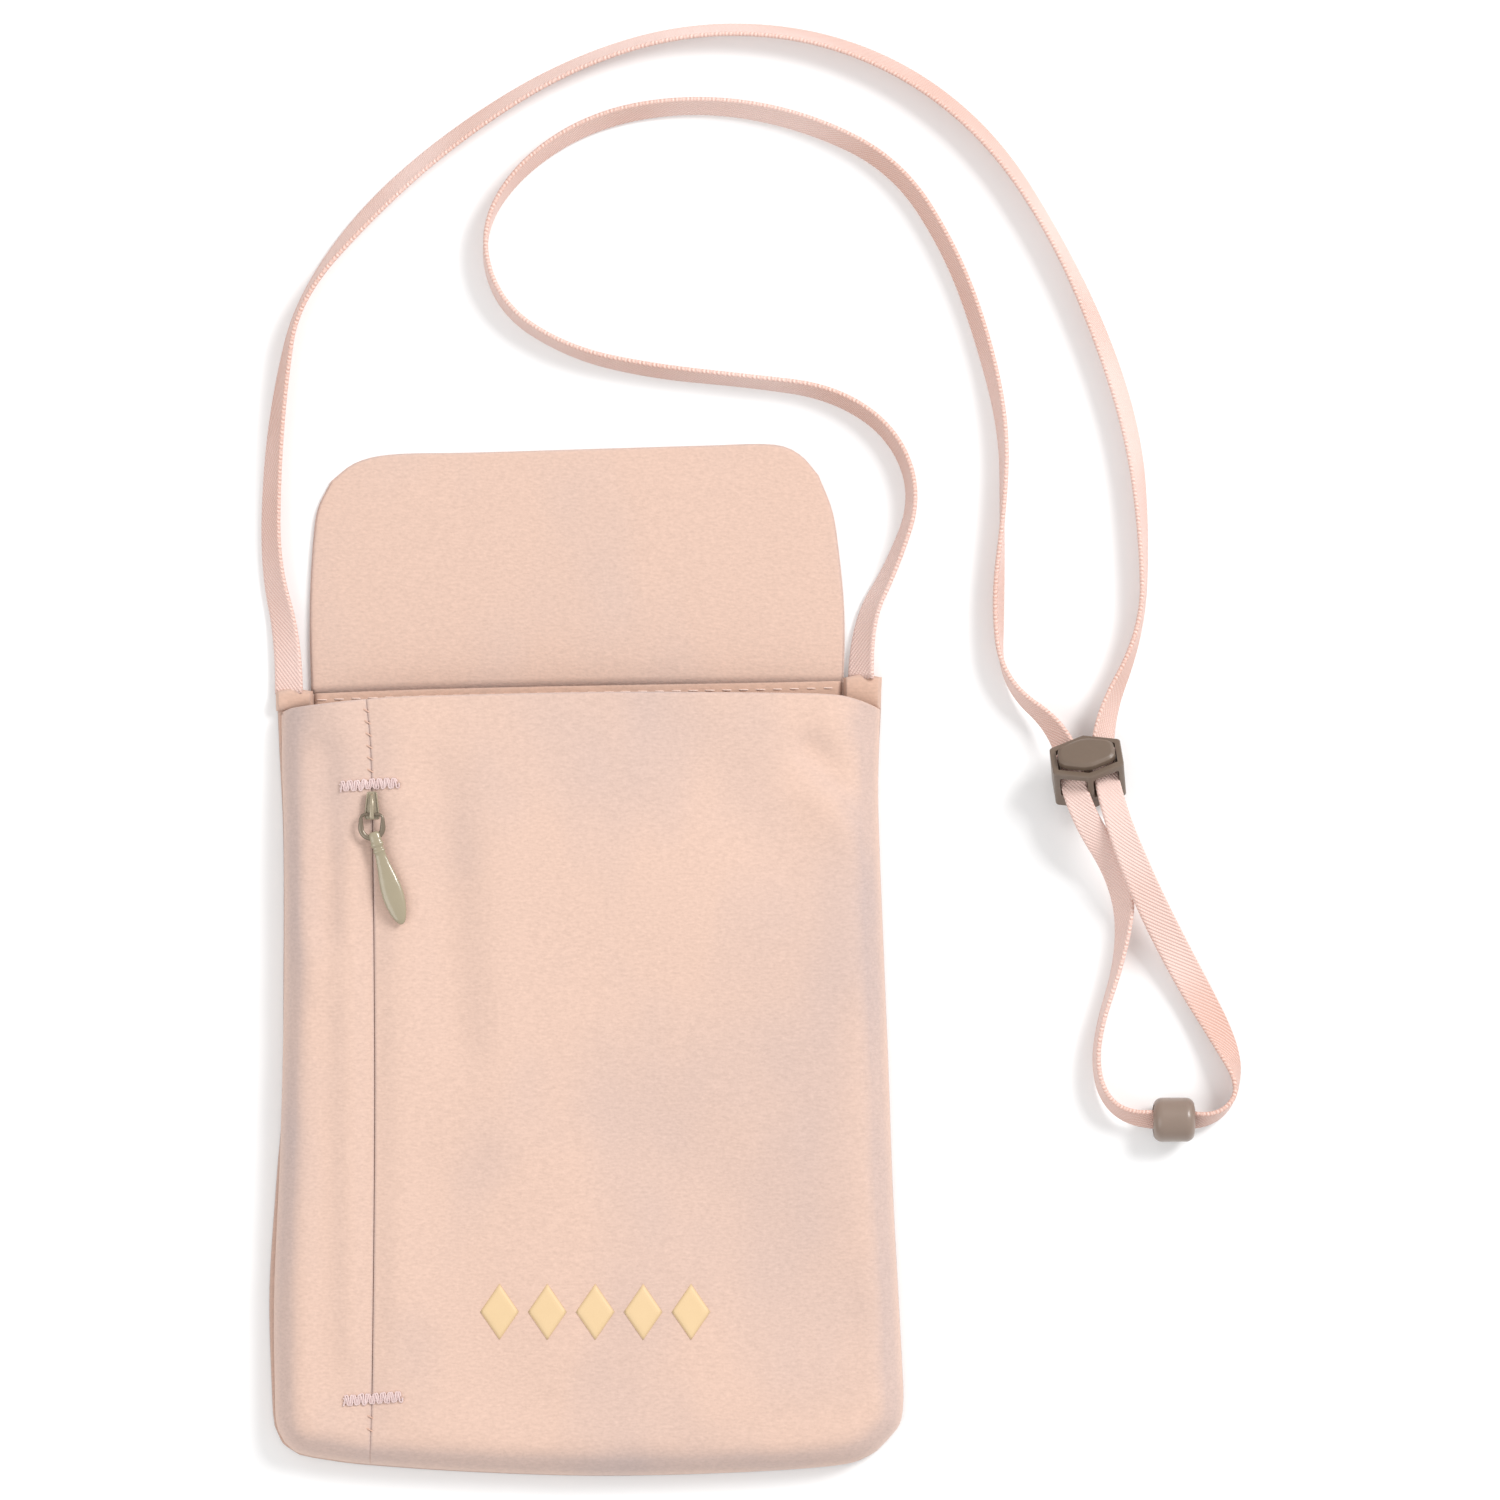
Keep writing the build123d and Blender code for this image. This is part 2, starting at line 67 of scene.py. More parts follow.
# Plan lines of the pouch. The sides and the zip run from base to mouth, the others from left
# to right.
LEFT_EDGE = [(-52.3, -83.2), (-53.7, -80.0), (-54.0, -74.0), (-54.1, -57.0), (-53.0, -31.0),
             (-52.4, -5.0), (-52.4, 20.0), (-52.8, 34.0), (-52.7, 42.2)]
RIGHT_EDGE = [(51.4, -82.9), (53.6, -80.0), (54.2, -76.0), (54.0, -70.0), (53.3, -57.0),
              (52.4, -40.0), (51.6, -18.0), (50.9, -1.0), (49.9, 25.0), (50.0, 36.0), (50.2, 42.7)]
BASE_EDGE = [(-52.3, -83.2), (-49.7, -85.1), (-44.0, -86.2), (-37.4, -87.0), (-20.0, -88.2),
             (2.0, -88.9), (25.0, -88.4), (42.6, -87.2), (48.5, -85.4), (51.4, -82.9)]
MOUTH_EDGE = [(-52.7, 42.2), (-50.5, 43.0), (-44.5, 43.8), (-37.9, 44.5), (-29.0, 45.0),
              (2.0, 45.7), (30.0, 45.6), (41.6, 45.3), (45.9, 44.5), (48.8, 43.4), (50.2, 42.7)]
ZIP_LINE = [(-37.4, -87.0), (-36.9, -70.0), (-36.5, -20.0), (-37.0, 30.0), (-37.9, 44.5)]


# ================================================================ small geometry tools
def through(points, per_span=12):
    """A smooth polyline through the given points."""
    p = np.array(points, float)
    p = np.vstack([2 * p[0] - p[1], p, 2 * p[-1] - p[-2]])
    t = np.linspace(0, 1, per_span, endpoint=False)[:, None]
    spans = []
    for a, b, c, d in zip(p, p[1:], p[2:], p[3:]):
        spans.append(
            0.5 * (2 * b + (c - a) * t + (2 * a - 5 * b + 4 * c - d) * t ** 2
                   + (3 * b - a - 3 * c + d) * t ** 3)
        )
    return np.vstack(spans + [p[-2][None]])


def at_shares(line, shares):
    """Points of a polyline at the given shares of its length."""
    step = np.linalg.norm(np.diff(line, axis=0), axis=1)
    run = np.concatenate([[0.0], np.cumsum(step)])
    at = shares * run[-1]
    return np.column_stack([np.interp(at, run, line[:, k]) for k in range(line.shape[1])])


def patch(left, right, base, top, u, v):
    """Plan points that fill four edges: rows go from base to top, columns from left to right."""
    low, high = at_shares(base, u), at_shares(top, u)
    west, east = at_shares(left, v), at_shares(right, v)
    a, b = u[None, :, None], v[:, None, None]
    corners = ((1 - a) * (1 - b) * low[0] + a * (1 - b) * low[-1]
               + (1 - a) * b * high[0] + a * b * high[-1])
    return (1 - a) * west[:, None] + a * east[:, None] + (1 - b) * low[None] + b * high[None] - corners


def line_distance(points, line):
    """Distance of each plan point from a polyline."""
    p = points.reshape(-1, 1, 2)
    a, b = line[None, :-1], line[None, 1:]
    along = b - a
    t = np.clip(((p - a) * along).sum(2) / np.maximum((along ** 2).sum(2), 1e-12), 0, 1)
    near = a + along * t[..., None]
    return np.sqrt(((p - near) ** 2).sum(2)).min(1).reshape(points.shape[:-1])


def smooth_step(x, low, high):
    t = np.clip((x - low) / (high - low), 0, 1)
    return t * t * (3 - 2 * t)


def ripple(points, size, seed):
    """Smooth noise in -1..1 at plan points, with features of the given size in mm."""
    flat = points.reshape(-1, points.shape[-1])[:, :2] / size
    values = [noise.noise(Vector((x, y, seed))) for x, y in flat]
    return np.array(values).reshape(points.shape[:-1])


def stations(width, near=(), step=1.0, far_r=0.0, far_count=8):
    """Shares of a width: the near stops, even steps, then stops that draw a quarter round.

    width, near, step and far_r are in mm; far_r is the radius of the round at the far side.
    """
    stops = list(near) or [0.0]
    end = width - far_r
    count = max(2, int((end - stops[-1]) / step))
    stops += list(np.linspace(stops[-1], end, count + 1)[1:])
    if far_r:
        turn = np.linspace(0, math.pi / 2, far_count + 1)[1:]
        stops += [width - far_r * (1 - math.sin(t)) for t in turn]
    return np.array(stops) / width


def show(mesh, name):
    """Puts a mesh in the scene as a smooth-shaded object."""
    mesh.polygons.foreach_set("use_smooth", [True] * len(mesh.polygons))
    piece = bpy.data.objects.new(name, mesh)
    bpy.context.scene.collection.objects.link(piece)
    return piece


def mesh_from_grid(name, grid, closed=False, capped=False, uv=None):
    """A quad mesh through a grid of points in mm.

    closed joins the last column to the first, capped closes the first and the last row, and uv
    holds a point for each grid point.
    """
    rows, columns = grid.shape[:2]
    index = np.arange(rows * columns).reshape(rows, columns)
    right = np.roll(index, -1, axis=1)
    quads = np.stack([index[:-1], right[:-1], right[1:], index[1:]], axis=-1)
    if not closed:
        quads = quads[:, :-1]
    faces = quads.reshape(-1, 4).tolist()
    if capped:
        faces += [index[0, ::-1].tolist(), index[-1].tolist()]
    mesh = bpy.data.meshes.new(name)
    mesh.from_pydata((grid.reshape(-1, 3) * MM).tolist(), [], faces)
    if uv is not None:
        layer = mesh.uv_layers.new(name="along")
        vertex = np.zeros(len(mesh.loops), int)
        mesh.loops.foreach_get("vertex_index", vertex)
        layer.data.foreach_set("uv", uv.reshape(-1, 2)[vertex].ravel())
    return show(mesh, name)


def shell_between(name, top, bottom):
    """Closes two grids of the same size into one thin solid."""
    rows, columns = top.shape[:2]
    count = rows * columns
    index = np.arange(count).reshape(rows, columns)
    quads = np.stack([index[:-1, :-1], index[:-1, 1:], index[1:, 1:], index[1:, :-1]], -1)
    quads = quads.reshape(-1, 4)
    rim = np.concatenate([index[0, :-1], index[:-1, -1], index[-1, :0:-1], index[:0:-1, 0]])
    ahead = np.roll(rim, -1)
    walls = np.stack([rim + count, ahead + count, ahead, rim], -1)
    faces = quads.tolist() + (quads[:, ::-1] + count).tolist() + walls.tolist()
    points = np.concatenate([top.reshape(-1, 3), bottom.reshape(-1, 3)]) * MM
    mesh = bpy.data.meshes.new(name)
    mesh.from_pydata(points.tolist(), [], faces)
    return show(mesh, name)


def apply_modifiers(piece):
    """Turns the piece's modifiers into plain mesh."""
    graph = bpy.context.evaluated_depsgraph_get()
    result = bpy.data.meshes.new_from_object(piece.evaluated_get(graph))
    piece.modifiers.clear()
    piece.data = result
    piece.data.polygons.foreach_set("use_smooth", [True] * len(piece.data.polygons))


def thicken(piece, thickness):
    """Gives a cloth surface its thickness, below the surface."""
    solid = piece.modifiers.new("thickness", "SOLIDIFY")
    solid.thickness = thickness * MM
    solid.offset = -1.0
    solid.use_even_offset = False
    apply_modifiers(piece)


def joined(parts, name):
    """Makes one piece of several."""
    with bpy.context.temp_override(active_object=parts[0], selected_editable_objects=parts):
        bpy.ops.object.join()
    parts[0].name = name
    return parts[0]


def place(piece, body, slot, material, *replaces):
    """Gives the piece its body and its material, and hides the CAD nodes it stands for; slot is not
    used.
    """
    piece.data.materials.clear()
    piece.data.materials.append(material)
    if body:
        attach(piece, body)
    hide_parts(*replaces)
    return piece


# ================================================================ materials
class Graph:
    """A material's node tree, with short calls for the nodes that the finishes use."""

    def __init__(self, name):
        self.material = bpy.data.materials.new(name)
        self.material.use_nodes = True
        self.nodes = self.material.node_tree.nodes
        self.link = self.material.node_tree.links.new
        self.shader = self.nodes["Principled BSDF"]

    def add(self, kind, **values):
        node = self.nodes.new(kind)
        for key, value in values.items():
            setattr(node, key, value)
        return node

    def feed(self, socket, value):
        """Links a socket to another one, or gives it a colour or a number."""
        if isinstance(value, bpy.types.NodeSocket):
            self.link(value, socket)
        elif isinstance(value, tuple):
            socket.default_value = (*value, 1.0)
        else:
            socket.default_value = value

    def finish(self, values):
        """Feeds the shader's inputs by name."""
        for key, value in values.items():
            self.feed(self.shader.inputs[key], value)

    def calc(self, operation, a, b=0.0, clamp=False):
        node = self.add("ShaderNodeMath", operation=operation, use_clamp=clamp)
        self.feed(node.inputs[0], a)
        self.feed(node.inputs[1], b)
        return node.outputs[0]

    def plus(self, a, b, clamp=False):
        return self.calc("ADD", a, b, clamp)

    def times(self, a, b, clamp=False):
        return self.calc("MULTIPLY", a, b, clamp)

    def above(self, value, low, gain):
        """How far a value is above low, times gain, kept between 0 and 1."""
        return self.times(self.calc("SUBTRACT", value, low), gain, True)

    def mix(self, factor, a, b, blend="MIX"):
        """A mix of two colours or colour sockets."""
        node = self.add("ShaderNodeMix", data_type="RGBA", blend_type=blend)
        for socket, value in zip((node.inputs[0], node.inputs[6], node.inputs[7]), (factor, a, b)):
            self.feed(socket, value)
        return node.outputs[2]

    def noise(self, scale, stretch=(1, 1, 1), detail=2.0):
        """Noise with features of 1/scale metres, stretched along the axes."""
        mapping = self.add("ShaderNodeMapping")
        mapping.inputs["Scale"].default_value = stretch
        self.link(self.add("ShaderNodeTexCoord").outputs["Object"], mapping.inputs["Vector"])
        texture = self.add("ShaderNodeTexNoise")
        texture.inputs["Scale"].default_value = scale
        texture.inputs["Detail"].default_value = detail
        self.link(mapping.outputs["Vector"], texture.inputs["Vector"])
        return texture.outputs["Fac"]

    def split(self, vector):
        """The three parts of a vector."""
        node = self.add("ShaderNodeSeparateXYZ")
        self.link(vector, node.inputs[0])
        return node.outputs

    def bump(self, height, distance, strength):
        node = self.add("ShaderNodeBump")
        node.inputs["Strength"].default_value = strength
        node.inputs["Distance"].default_value = distance
        self.link(height, node.inputs["Height"])
        self.link(node.outputs["Normal"], self.shader.inputs["Normal"])


def shell_fabric(name, colour, patch_and_painted_light_tone, sheen=0.25):
    """Fine microfibre cloth: level weave, a cooler tone in random patches, painted shade on gentle
    slopes, sheen.
    """
    g = Graph(name)
    weave = g.noise(1100.0, (1.0, 2.2, 1.0), 3.0)
    grain = g.noise(2300.0, detail=1.0)
    patches = g.above(g.noise(38.0, (1.0, 0.6, 1.0)), 0.46, 3.0)
    level = g.calc("ABSOLUTE", g.split(g.add("ShaderNodeNewGeometry").outputs["Normal"])[2])
    leaning = g.times(g.calc("SUBTRACT", 1.0, level), 5.0, True)
    # The cooler, darker tone on gentle slopes is painted shade; steep walls and level cloth keep the
    # base colour.
    painted_slope_shade = g.times(leaning, g.above(level, 0.15, 2.5))
    base = g.mix(g.plus(g.times(patches, 0.45), g.times(painted_slope_shade, 0.45), True), colour, patch_and_painted_light_tone)
    fibres = g.plus(g.times(weave, 0.7), g.times(grain, 0.3))
    tone = g.plus(0.79, g.times(fibres, 0.42))
    gray = g.add("ShaderNodeCombineColor")
    for socket in gray.inputs[:3]:
        g.link(tone, socket)
    g.finish({
        "Base Color": g.mix(1.0, base, gray.outputs[0], "MULTIPLY"),
        "Roughness": 0.88,
        "Specular IOR Level": 0.25,
        "Sheen Weight": sheen,
        "Sheen Roughness": 0.45,
        "Sheen Tint": (1.0, 0.93, 0.9),
    })
    g.bump(fibres, 0.00012, 0.5)
    return g.material


def strap_webbing(name, colour, pale, patch_and_painted_light_tone):
    """Narrow satin tape: slanted ribs broken into stitches, a pale dotted selvedge, pale patches of
    painted sheen.
    """
    g = Graph(name)
    across, along, _ = g.split(g.add("ShaderNodeUVMap", uv_map="along").outputs["UV"])

    def wave(a, b, pitch):
        """A wave from 0 to 1 over the tape; a and b weigh across and along, pitch is in mm."""
        phase = g.plus(g.times(across, a), g.times(along, b))
        return g.plus(g.times(g.calc("SINE", g.times(phase, 2 * math.pi / pitch)), 0.5), 0.5)

    ribs = wave(0.80, 0.60, 0.52)
    stitches = wave(-0.50, 0.86, 0.44)
    weave = g.times(ribs, g.plus(0.55, g.times(stitches, 0.45)))
    selvedge = g.mix(wave(0.3, 1.0, 0.62), colour, pale)
    at_edge = g.calc("GREATER_THAN", g.calc("ABSOLUTE", across), 2.3)
    # Pale patches along the tape are a painted satin sheen.
    base = g.mix(g.above(g.noise(26.0), 0.38, 4.5), patch_and_painted_light_tone, colour)
    base = g.mix(g.times(weave, 0.62), base, pale)
    g.finish({
        "Base Color": g.mix(g.times(at_edge, 0.45), base, selvedge),
        "Roughness": 0.42,
        "Specular IOR Level": 0.5,
        "Sheen Weight": 0.25,
        "Sheen Roughness": 0.4,
    })
    g.bump(weave, 0.00016, 0.8)
    return g.material


def plain_finish(name, colour, worn, roughness, coat=0.0, metallic=0.0, grain=900.0, depth=0.00003):
    """Lacquer, plastic, metal or print: a fine grain, a second tone in patches, uneven gloss."""
    g = Graph(name)
    fine = g.noise(grain)
    g.finish({
        "Base Color": g.mix(g.times(g.noise(240.0, detail=3.0), 0.8), colour, worn),
        "Roughness": g.plus(roughness - 0.08, g.times(fine, 0.16)),
        "Metallic": metallic,
        "Coat Weight": coat,
        "Coat Roughness": 0.12,
    })
    g.bump(fine, depth, 0.4)
    return g.material


def thread_finish(name, colour, shade):
    """Twisted sewing thread: short slanted plies and a soft lustre."""
    g = Graph(name)
    plies = g.noise(2600.0, (1.0, 0.45, 1.0), 1.0)
    g.finish({"Base Color": g.mix(plies, shade, colour), "Roughness": 0.5, "Sheen Weight": 0.3})
    g.bump(plies, 0.00008, 0.6)
    return g.material


# Each cloth's second colour is its tone in random patches and its painted shade on gentle slopes.
SHELL = shell_fabric("peach microfibre", (0.665, 0.47, 0.382), (0.47, 0.378, 0.362))
LINING = shell_fabric("flap lining", (0.645, 0.455, 0.37), (0.53, 0.42, 0.385))
FACING = shell_fabric("folded facing", (0.62, 0.41, 0.315), (0.54, 0.39, 0.33), 0.15)
TAPE = shell_fabric("zip tape", (0.60, 0.38, 0.28), (0.52, 0.36, 0.29), 0.1)
# The strap tape's last colour is the painted satin sheen of its pale patches.
WEBBING = strap_webbing("strap tape", (0.615, 0.338, 0.262), (0.90, 0.71, 0.64), (0.76, 0.525, 0.465))
LACQUER = plain_finish("khaki lacquer", (0.40, 0.335, 0.235), (0.31, 0.255, 0.175), 0.28, 0.6, 0.25)
PULL = plain_finish("olive enamel", (0.36, 0.305, 0.205), (0.29, 0.24, 0.155), 0.26, coat=0.8,
                    grain=420.0, depth=0.0002)
BRASS = plain_finish("dark brass", (0.225, 0.178, 0.125), (0.145, 0.110, 0.077), 0.3, 0.4, 0.35)
TAUPE = plain_finish("taupe plastic", (0.160, 0.112, 0.080), (0.132, 0.093, 0.067), 0.46,
                     coat=0.1, grain=1500.0)
BEAD = plain_finish("taupe bead plastic", (0.255, 0.187, 0.148), (0.22, 0.16, 0.125), 0.38,
                    coat=0.25, grain=1500.0)
STEEL = plain_finish("spring steel", (0.55, 0.55, 0.55), (0.45, 0.45, 0.45), 0.3, 0.0, 1.0)
NYLON = plain_finish("nylon coil", (0.72, 0.48, 0.36), (0.62, 0.40, 0.30), 0.45)
PRINT = plain_finish("raised gold print", (0.74, 0.54, 0.31), (0.69, 0.49, 0.27), 0.55,
                     grain=700.0, depth=0.00005)
TACK_THREAD = thread_finish("pale lilac thread", (0.80, 0.65, 0.63), (0.60, 0.41, 0.39))
SEAM_THREAD = thread_finish("peach thread", (0.72, 0.47, 0.36), (0.58, 0.35, 0.26))
PALE_THREAD = thread_finish("pale peach thread", (0.88, 0.70, 0.62), (0.70, 0.50, 0.42))

# ================================================================ camera
CAMERA_AT = (27.8, 35.9)
CAMERA_HEIGHT = 1.5    # in metres
FRAME_WIDTH = 258.3
camera = bpy.data.objects.new("camera", bpy.data.cameras.new("camera"))
bpy.context.scene.collection.objects.link(camera)
camera.location = (CAMERA_AT[0] * MM, CAMERA_AT[1] * MM, CAMERA_HEIGHT)
camera.data.sensor_width = 36.0
camera.data.lens = camera.data.sensor_width * CAMERA_HEIGHT / (FRAME_WIDTH * MM)
camera.data.clip_end = 10.0
bpy.context.scene.camera = camera

# ================================================================ neck strap
STRAP_W = 5.1
STRAP_T = 0.72
LIFT_OFF_FLOOR = 0.05
# The route repeats the CAD model's points, apart from two just below the lock that are moved by
# up to 2 mm. After each point come the tape's roll in degrees (0 flat, 90 on its edge) and the
# share of its width that shows where it is bunched.
STRAP = [
    (-51.5, 45.6, 1.8, 16, 1.0), (-51.5, 54.5, 1.8, 24, 1.0), (-54.7, 67.5, 1.9, 50, 1.0),
    (-54.4, 84.0, 2.1, 53, 1.0), (-52.8, 99.0, 2.2, 67, 1.0), (-50.0, 113.2, 2.5, 86, 1.0),
    (-38.0, 128.5, 2.1, 54, 1.0), (-22.5, 142.0, 2.2, 58, 1.0), (-4.0, 153.5, 2.4, 65, 1.0),
    (16.0, 159.9, 2.5, 68, 1.0), (36.5, 159.5, 2.4, 67, 1.0), (54.5, 153.0, 2.2, 62, 1.0),
    (69.5, 141.0, 2.2, 64, 1.0), (80.5, 124.0, 2.4, 71, 1.0), (88.5, 106.5, 2.2, 57, 1.0),
    (93.8, 89.5, 2.2, 57, 1.0), (95.5, 73.0, 2.5, 74, 1.0), (95.4, 56.5, 2.6, 88, 1.0),
    (87.6, 39.5, 4.2, 42, 0.95), (89.4, 27.1, 10.5, 2, 0.84), (95.0, 12.6, 7.2, 4, 1.04),
    (102.4, -1.8, 2.0, 4, 1.06), (110.0, -15.0, 1.8, 38, 1.0), (112.0, -22.6, 2.6, 94, 1.0),
    (108.2, -27.6, 3.6, 74, 0.95), (100.6, -27.7, 3.86, 34, 0.86), (91.9, -27.3, 3.6, 66, 0.95),
    (87.6, -22.3, 2.9, 82, 1.0), (87.2, -13.5, 2.6, 86, 1.0), (91.9, 1.0, 2.6, 79, 1.0),
    (92.1, 13.5, 4.0, 32, 1.0), (83.6, 26.3, 10.5, -6, 0.84), (81.9, 38.7, 4.2, 46, 0.95),
    (71.0, 47.5, 2.6, 84, 1.0), (70.3, 61.0, 2.5, 114, 1.0), (71.3, 76.5, 2.6, 88, 1.0),
    (71.6, 90.5, 2.6, 76, 1.0), (68.3, 105.5, 2.4, 63, 1.0), (62.6, 121.5, 2.3, 65, 1.0),
    (53.0, 136.5, 2.2, 63, 1.0), (37.0, 144.3, 2.1, 57, 1.0), (19.5, 147.3, 2.2, 62, 1.0),
    (2.0, 144.8, 2.2, 62, 1.0), (-11.5, 136.5, 2.4, 69, 1.0), (-18.8, 125.0, 2.6, 90, 1.0),
    (-15.5, 112.0, 2.6, 104, 1.0), (-3.5, 104.3, 2.4, 106, 1.0), (11.0, 101.0, 2.3, 113, 1.0),
    (27.5, 99.4, 2.4, 108, 1.0), (42.0, 97.5, 2.3, 115, 1.0), (52.5, 90.5, 2.2, 111, 1.0),
    (56.6, 79.5, 2.5, 104, 1.0), (52.3, 67.5, 2.2, 112, 1.0), (46.9, 57.5, 1.8, 132, 1.0),
    (46.9, 48.2, 1.8, 150, 1.0),
]


def spline_points(name, controls, per_span=20):
    """Points read from a NURBS spline of order 3 with the given control points, in metres."""
    curve = bpy.data.curves.new(name, "CURVE")
    curve.dimensions = "3D"
    spline = curve.splines.new("NURBS")
    spline.points.add(len(controls) - 1)
    for point, at in zip(spline.points, controls):
        point.co = (*at, 1.0)
    spline.order_u = 3
    spline.use_endpoint_u = True
    spline.resolution_u = per_span
    holder = bpy.data.objects.new(name, curve)
    line = bpy.data.meshes.new_from_object(holder)
    points = np.array([v.co for v in line.vertices])
    bpy.data.objects.remove(holder)
    return points


strap_line = spline_points("strap route", [(x * MM, y * MM, z * MM) for x, y, z, _, _ in STRAP])
strap_lay = spline_points("strap roll", [(a * MM, b * MM, 0.0) for _, _, _, a, b in STRAP]) / MM


def strap_section():
    """The tape's cross-section: a thin rounded strip with slightly thicker selvedges."""
    half_w, half_t, lip = STRAP_W / 2, STRAP_T / 2, 0.06
    right = [(half_w * 0.4, half_t), (half_w - 0.75, half_t), (half_w - 0.35, half_t + lip),
             (half_w - 0.12, half_t * 0.75)]
    top = [(-x, y) for x, y in reversed(right)] + [(0.0, half_t)] + right
    return top + [(half_w, 0.0)] + [(x, -y) for x, y in reversed(top)] + [(-half_w, 0.0)]


def build_strap():
    """The tape along its route, rolled and bunched as STRAP says and kept off the floor."""
    line = strap_line / MM
    roll = np.radians(strap_lay[:, 0])
    share = strap_lay[:, 1]
    reach = share * STRAP_W / 2 * np.abs(np.sin(roll)) + STRAP_T / 2 * np.abs(np.cos(roll))
    line[:, 2] = np.maximum(line[:, 2], reach + LIFT_OFF_FLOOR)
    tangent = np.gradient(line, axis=0)
    tangent /= np.linalg.norm(tangent, axis=1)[:, None]
    side = np.cross(tangent, (0.0, 0.0, 1.0))
    side /= np.linalg.norm(side, axis=1)[:, None]
    normal = np.cross(side, tangent)
    across = np.cos(roll)[:, None] * side + np.sin(roll)[:, None] * normal
    face = np.cross(across, tangent)
    run = np.concatenate([[0.0], np.cumsum(np.linalg.norm(np.diff(line, axis=0), axis=1))])
    section = np.array(strap_section())
    grid = (line[:, None] + section[None, :, 0, None] * across[:, None] * share[:, None, None]
            + section[None, :, 1, None] * face[:, None])
    uv = np.stack(np.broadcast_arrays(section[None, :, 0], run[:, None]), axis=-1)
    return mesh_from_grid("strap_tape", grid[:, ::-1], closed=True, capped=True, uv=uv[:, ::-1])


strap = build_strap()
place(strap, "pouch", "strap_webbing", WEBBING, "neck_strap")

# ================================================================ pouch front
outline = np.vstack([through(LEFT_EDGE)[::-1], through(BASE_EDGE), through(RIGHT_EDGE)])
left_line, right_line = through(LEFT_EDGE), through(RIGHT_EDGE)
base_line, mouth_line = through(BASE_EDGE), through(MOUTH_EDGE)
zip_line = through(ZIP_LINE)
SEAM_DIP = 0.45        # how far the cloth sinks along the zip
SEAM_DIP_W = 2.6       # half width of that hollow
MOUTH_FROM, MOUTH_TO = 18.0, 44.0    # y range in which the round grows towards the mouth

# Soft folds in the front: start, end, half width and height; a hollow has a negative height.
FRONT_FOLDS = [
    ((-46.0, 34.0), (-46.5, 6.0), 4.2, -1.45),
    ((-50.2, 24.0), (-50.0, -12.0), 2.0, 0.35),
    ((-47.0, -10.0), (-44.0, -72.0), 4.5, -0.60),
    ((-40.8, 20.0), (-40.8, -66.0), 2.2, 0.42),
    ((-25.0, 30.0), (-22.5, -14.0), 4.6, -0.80),
    ((-32.0, 18.0), (-32.0, -60.0), 3.2, 0.35),
    ((-17.0, 22.0), (-14.0, -30.0), 4.5, 0.35),
    ((38.0, 36.0), (50.0, 26.0), 3.0, -1.35),
    ((44.5, 40.5), (50.0, 34.0), 2.4, 0.50),
    ((40.0, 27.0), (49.5, 19.0), 3.2, 0.55),
    ((8.0, -28.0), (46.0, -62.0), 11.0, -0.65),
    ((-12.0, 22.0), (34.0, 2.0), 12.0, 0.50),
    ((14.0, 40.0), (34.0, 16.0), 7.0, -0.45),
    ((-26.0, -40.0), (-12.0, -78.0), 8.0, -0.45),
    ((20.0, -78.0), (48.0, -70.0), 5.0, 0.40),
    ((-28.0, -80.0), (10.0, -83.0), 4.0, 0.35),
]


def front_height(plan):
    """Height of the front cloth's outer face at plan points."""
    edge = line_distance(plan, outline)
    near_mouth = smooth_step(plan[..., 1], MOUTH_FROM, MOUTH_TO)
    radius = EDGE_R + MOUTH_EXTRA_R * near_mouth
    rise = np.sqrt(np.clip(1 - (1 - np.clip(edge / radius, 0, 1)) ** 2, 0, 1))
    height = SEAM_Z + (PLATEAU_Z - SEAM_Z) * rise
    inner = smooth_step(edge, 1.0, 9.0)
    for start, end, width, depth in FRONT_FOLDS:
        reach = line_distance(plan, np.array([start, end], float))
        height = height + inner * depth * np.exp(-(reach / width) ** 2)
    height = height + inner * (0.28 * ripple(plan, 34.0, 1.7) + 0.12 * ripple(plan, 13.0, 4.2))
    seam = line_distance(plan, zip_line)
    height = height - inner * SEAM_DIP * np.exp(-(seam / SEAM_DIP_W) ** 2)
    height = np.minimum(height, PLATEAU_Z - 0.25 + 0.09 * seam ** 2)
    pucker = smooth_step(10.0 - edge, 0.0, 8.0) * smooth_step(edge, 0.3, 2.0)
    return height + 0.22 * pucker * ripple(plan, 5.5, 9.1)


# A turned edge in section: how far past the fold line, and how far down.
ROLLED_EDGE = [(0.11, -0.08), (0.17, -0.32), (0.12, -0.62), (-0.14, -0.84), (-0.8, -0.95),
               (-4.0, -1.0)]
# The cloth face starts to turn this far before its edge, and drops this much on the way.
ROUND_IN = 0.3
ROUND_DROP = 0.10


def rounded_off(distance):
    """Drop of a cloth face where it turns over an edge at the given distance."""
    reach = np.clip(ROUND_IN - distance, 0, ROUND_IN)
    return ROUND_DROP * (reach / ROUND_IN) ** 2


def add_rolled(grid, edge, outward):
    """Adds the turned edge beyond the first or last row of a grid, outward in plan.

    The turn flattens where the cloth is low, and its hidden part is drawn in at the ends.
    """
    row = grid[edge]
    row_middle = row[:, :2].mean(axis=0)
    slack = np.clip((row[:, 2] - 1.2) / 3.0, 0.15, 1.0)
    rows = []
    for past, drop in ROLLED_EDGE:
        new = row.copy()
        hidden = float(smooth_step(-drop, 0.3, 0.9))
        new[:, :2] = row_middle + (row[:, :2] - row_middle) * (1 - 0.035 * hidden)
        new[:, :2] += outward * past
        new[:, 2] += drop * slack
        rows.append(new)
    rows = np.array(rows)
    return np.concatenate([grid, rows]) if edge == -1 else np.concatenate([rows[::-1], grid])


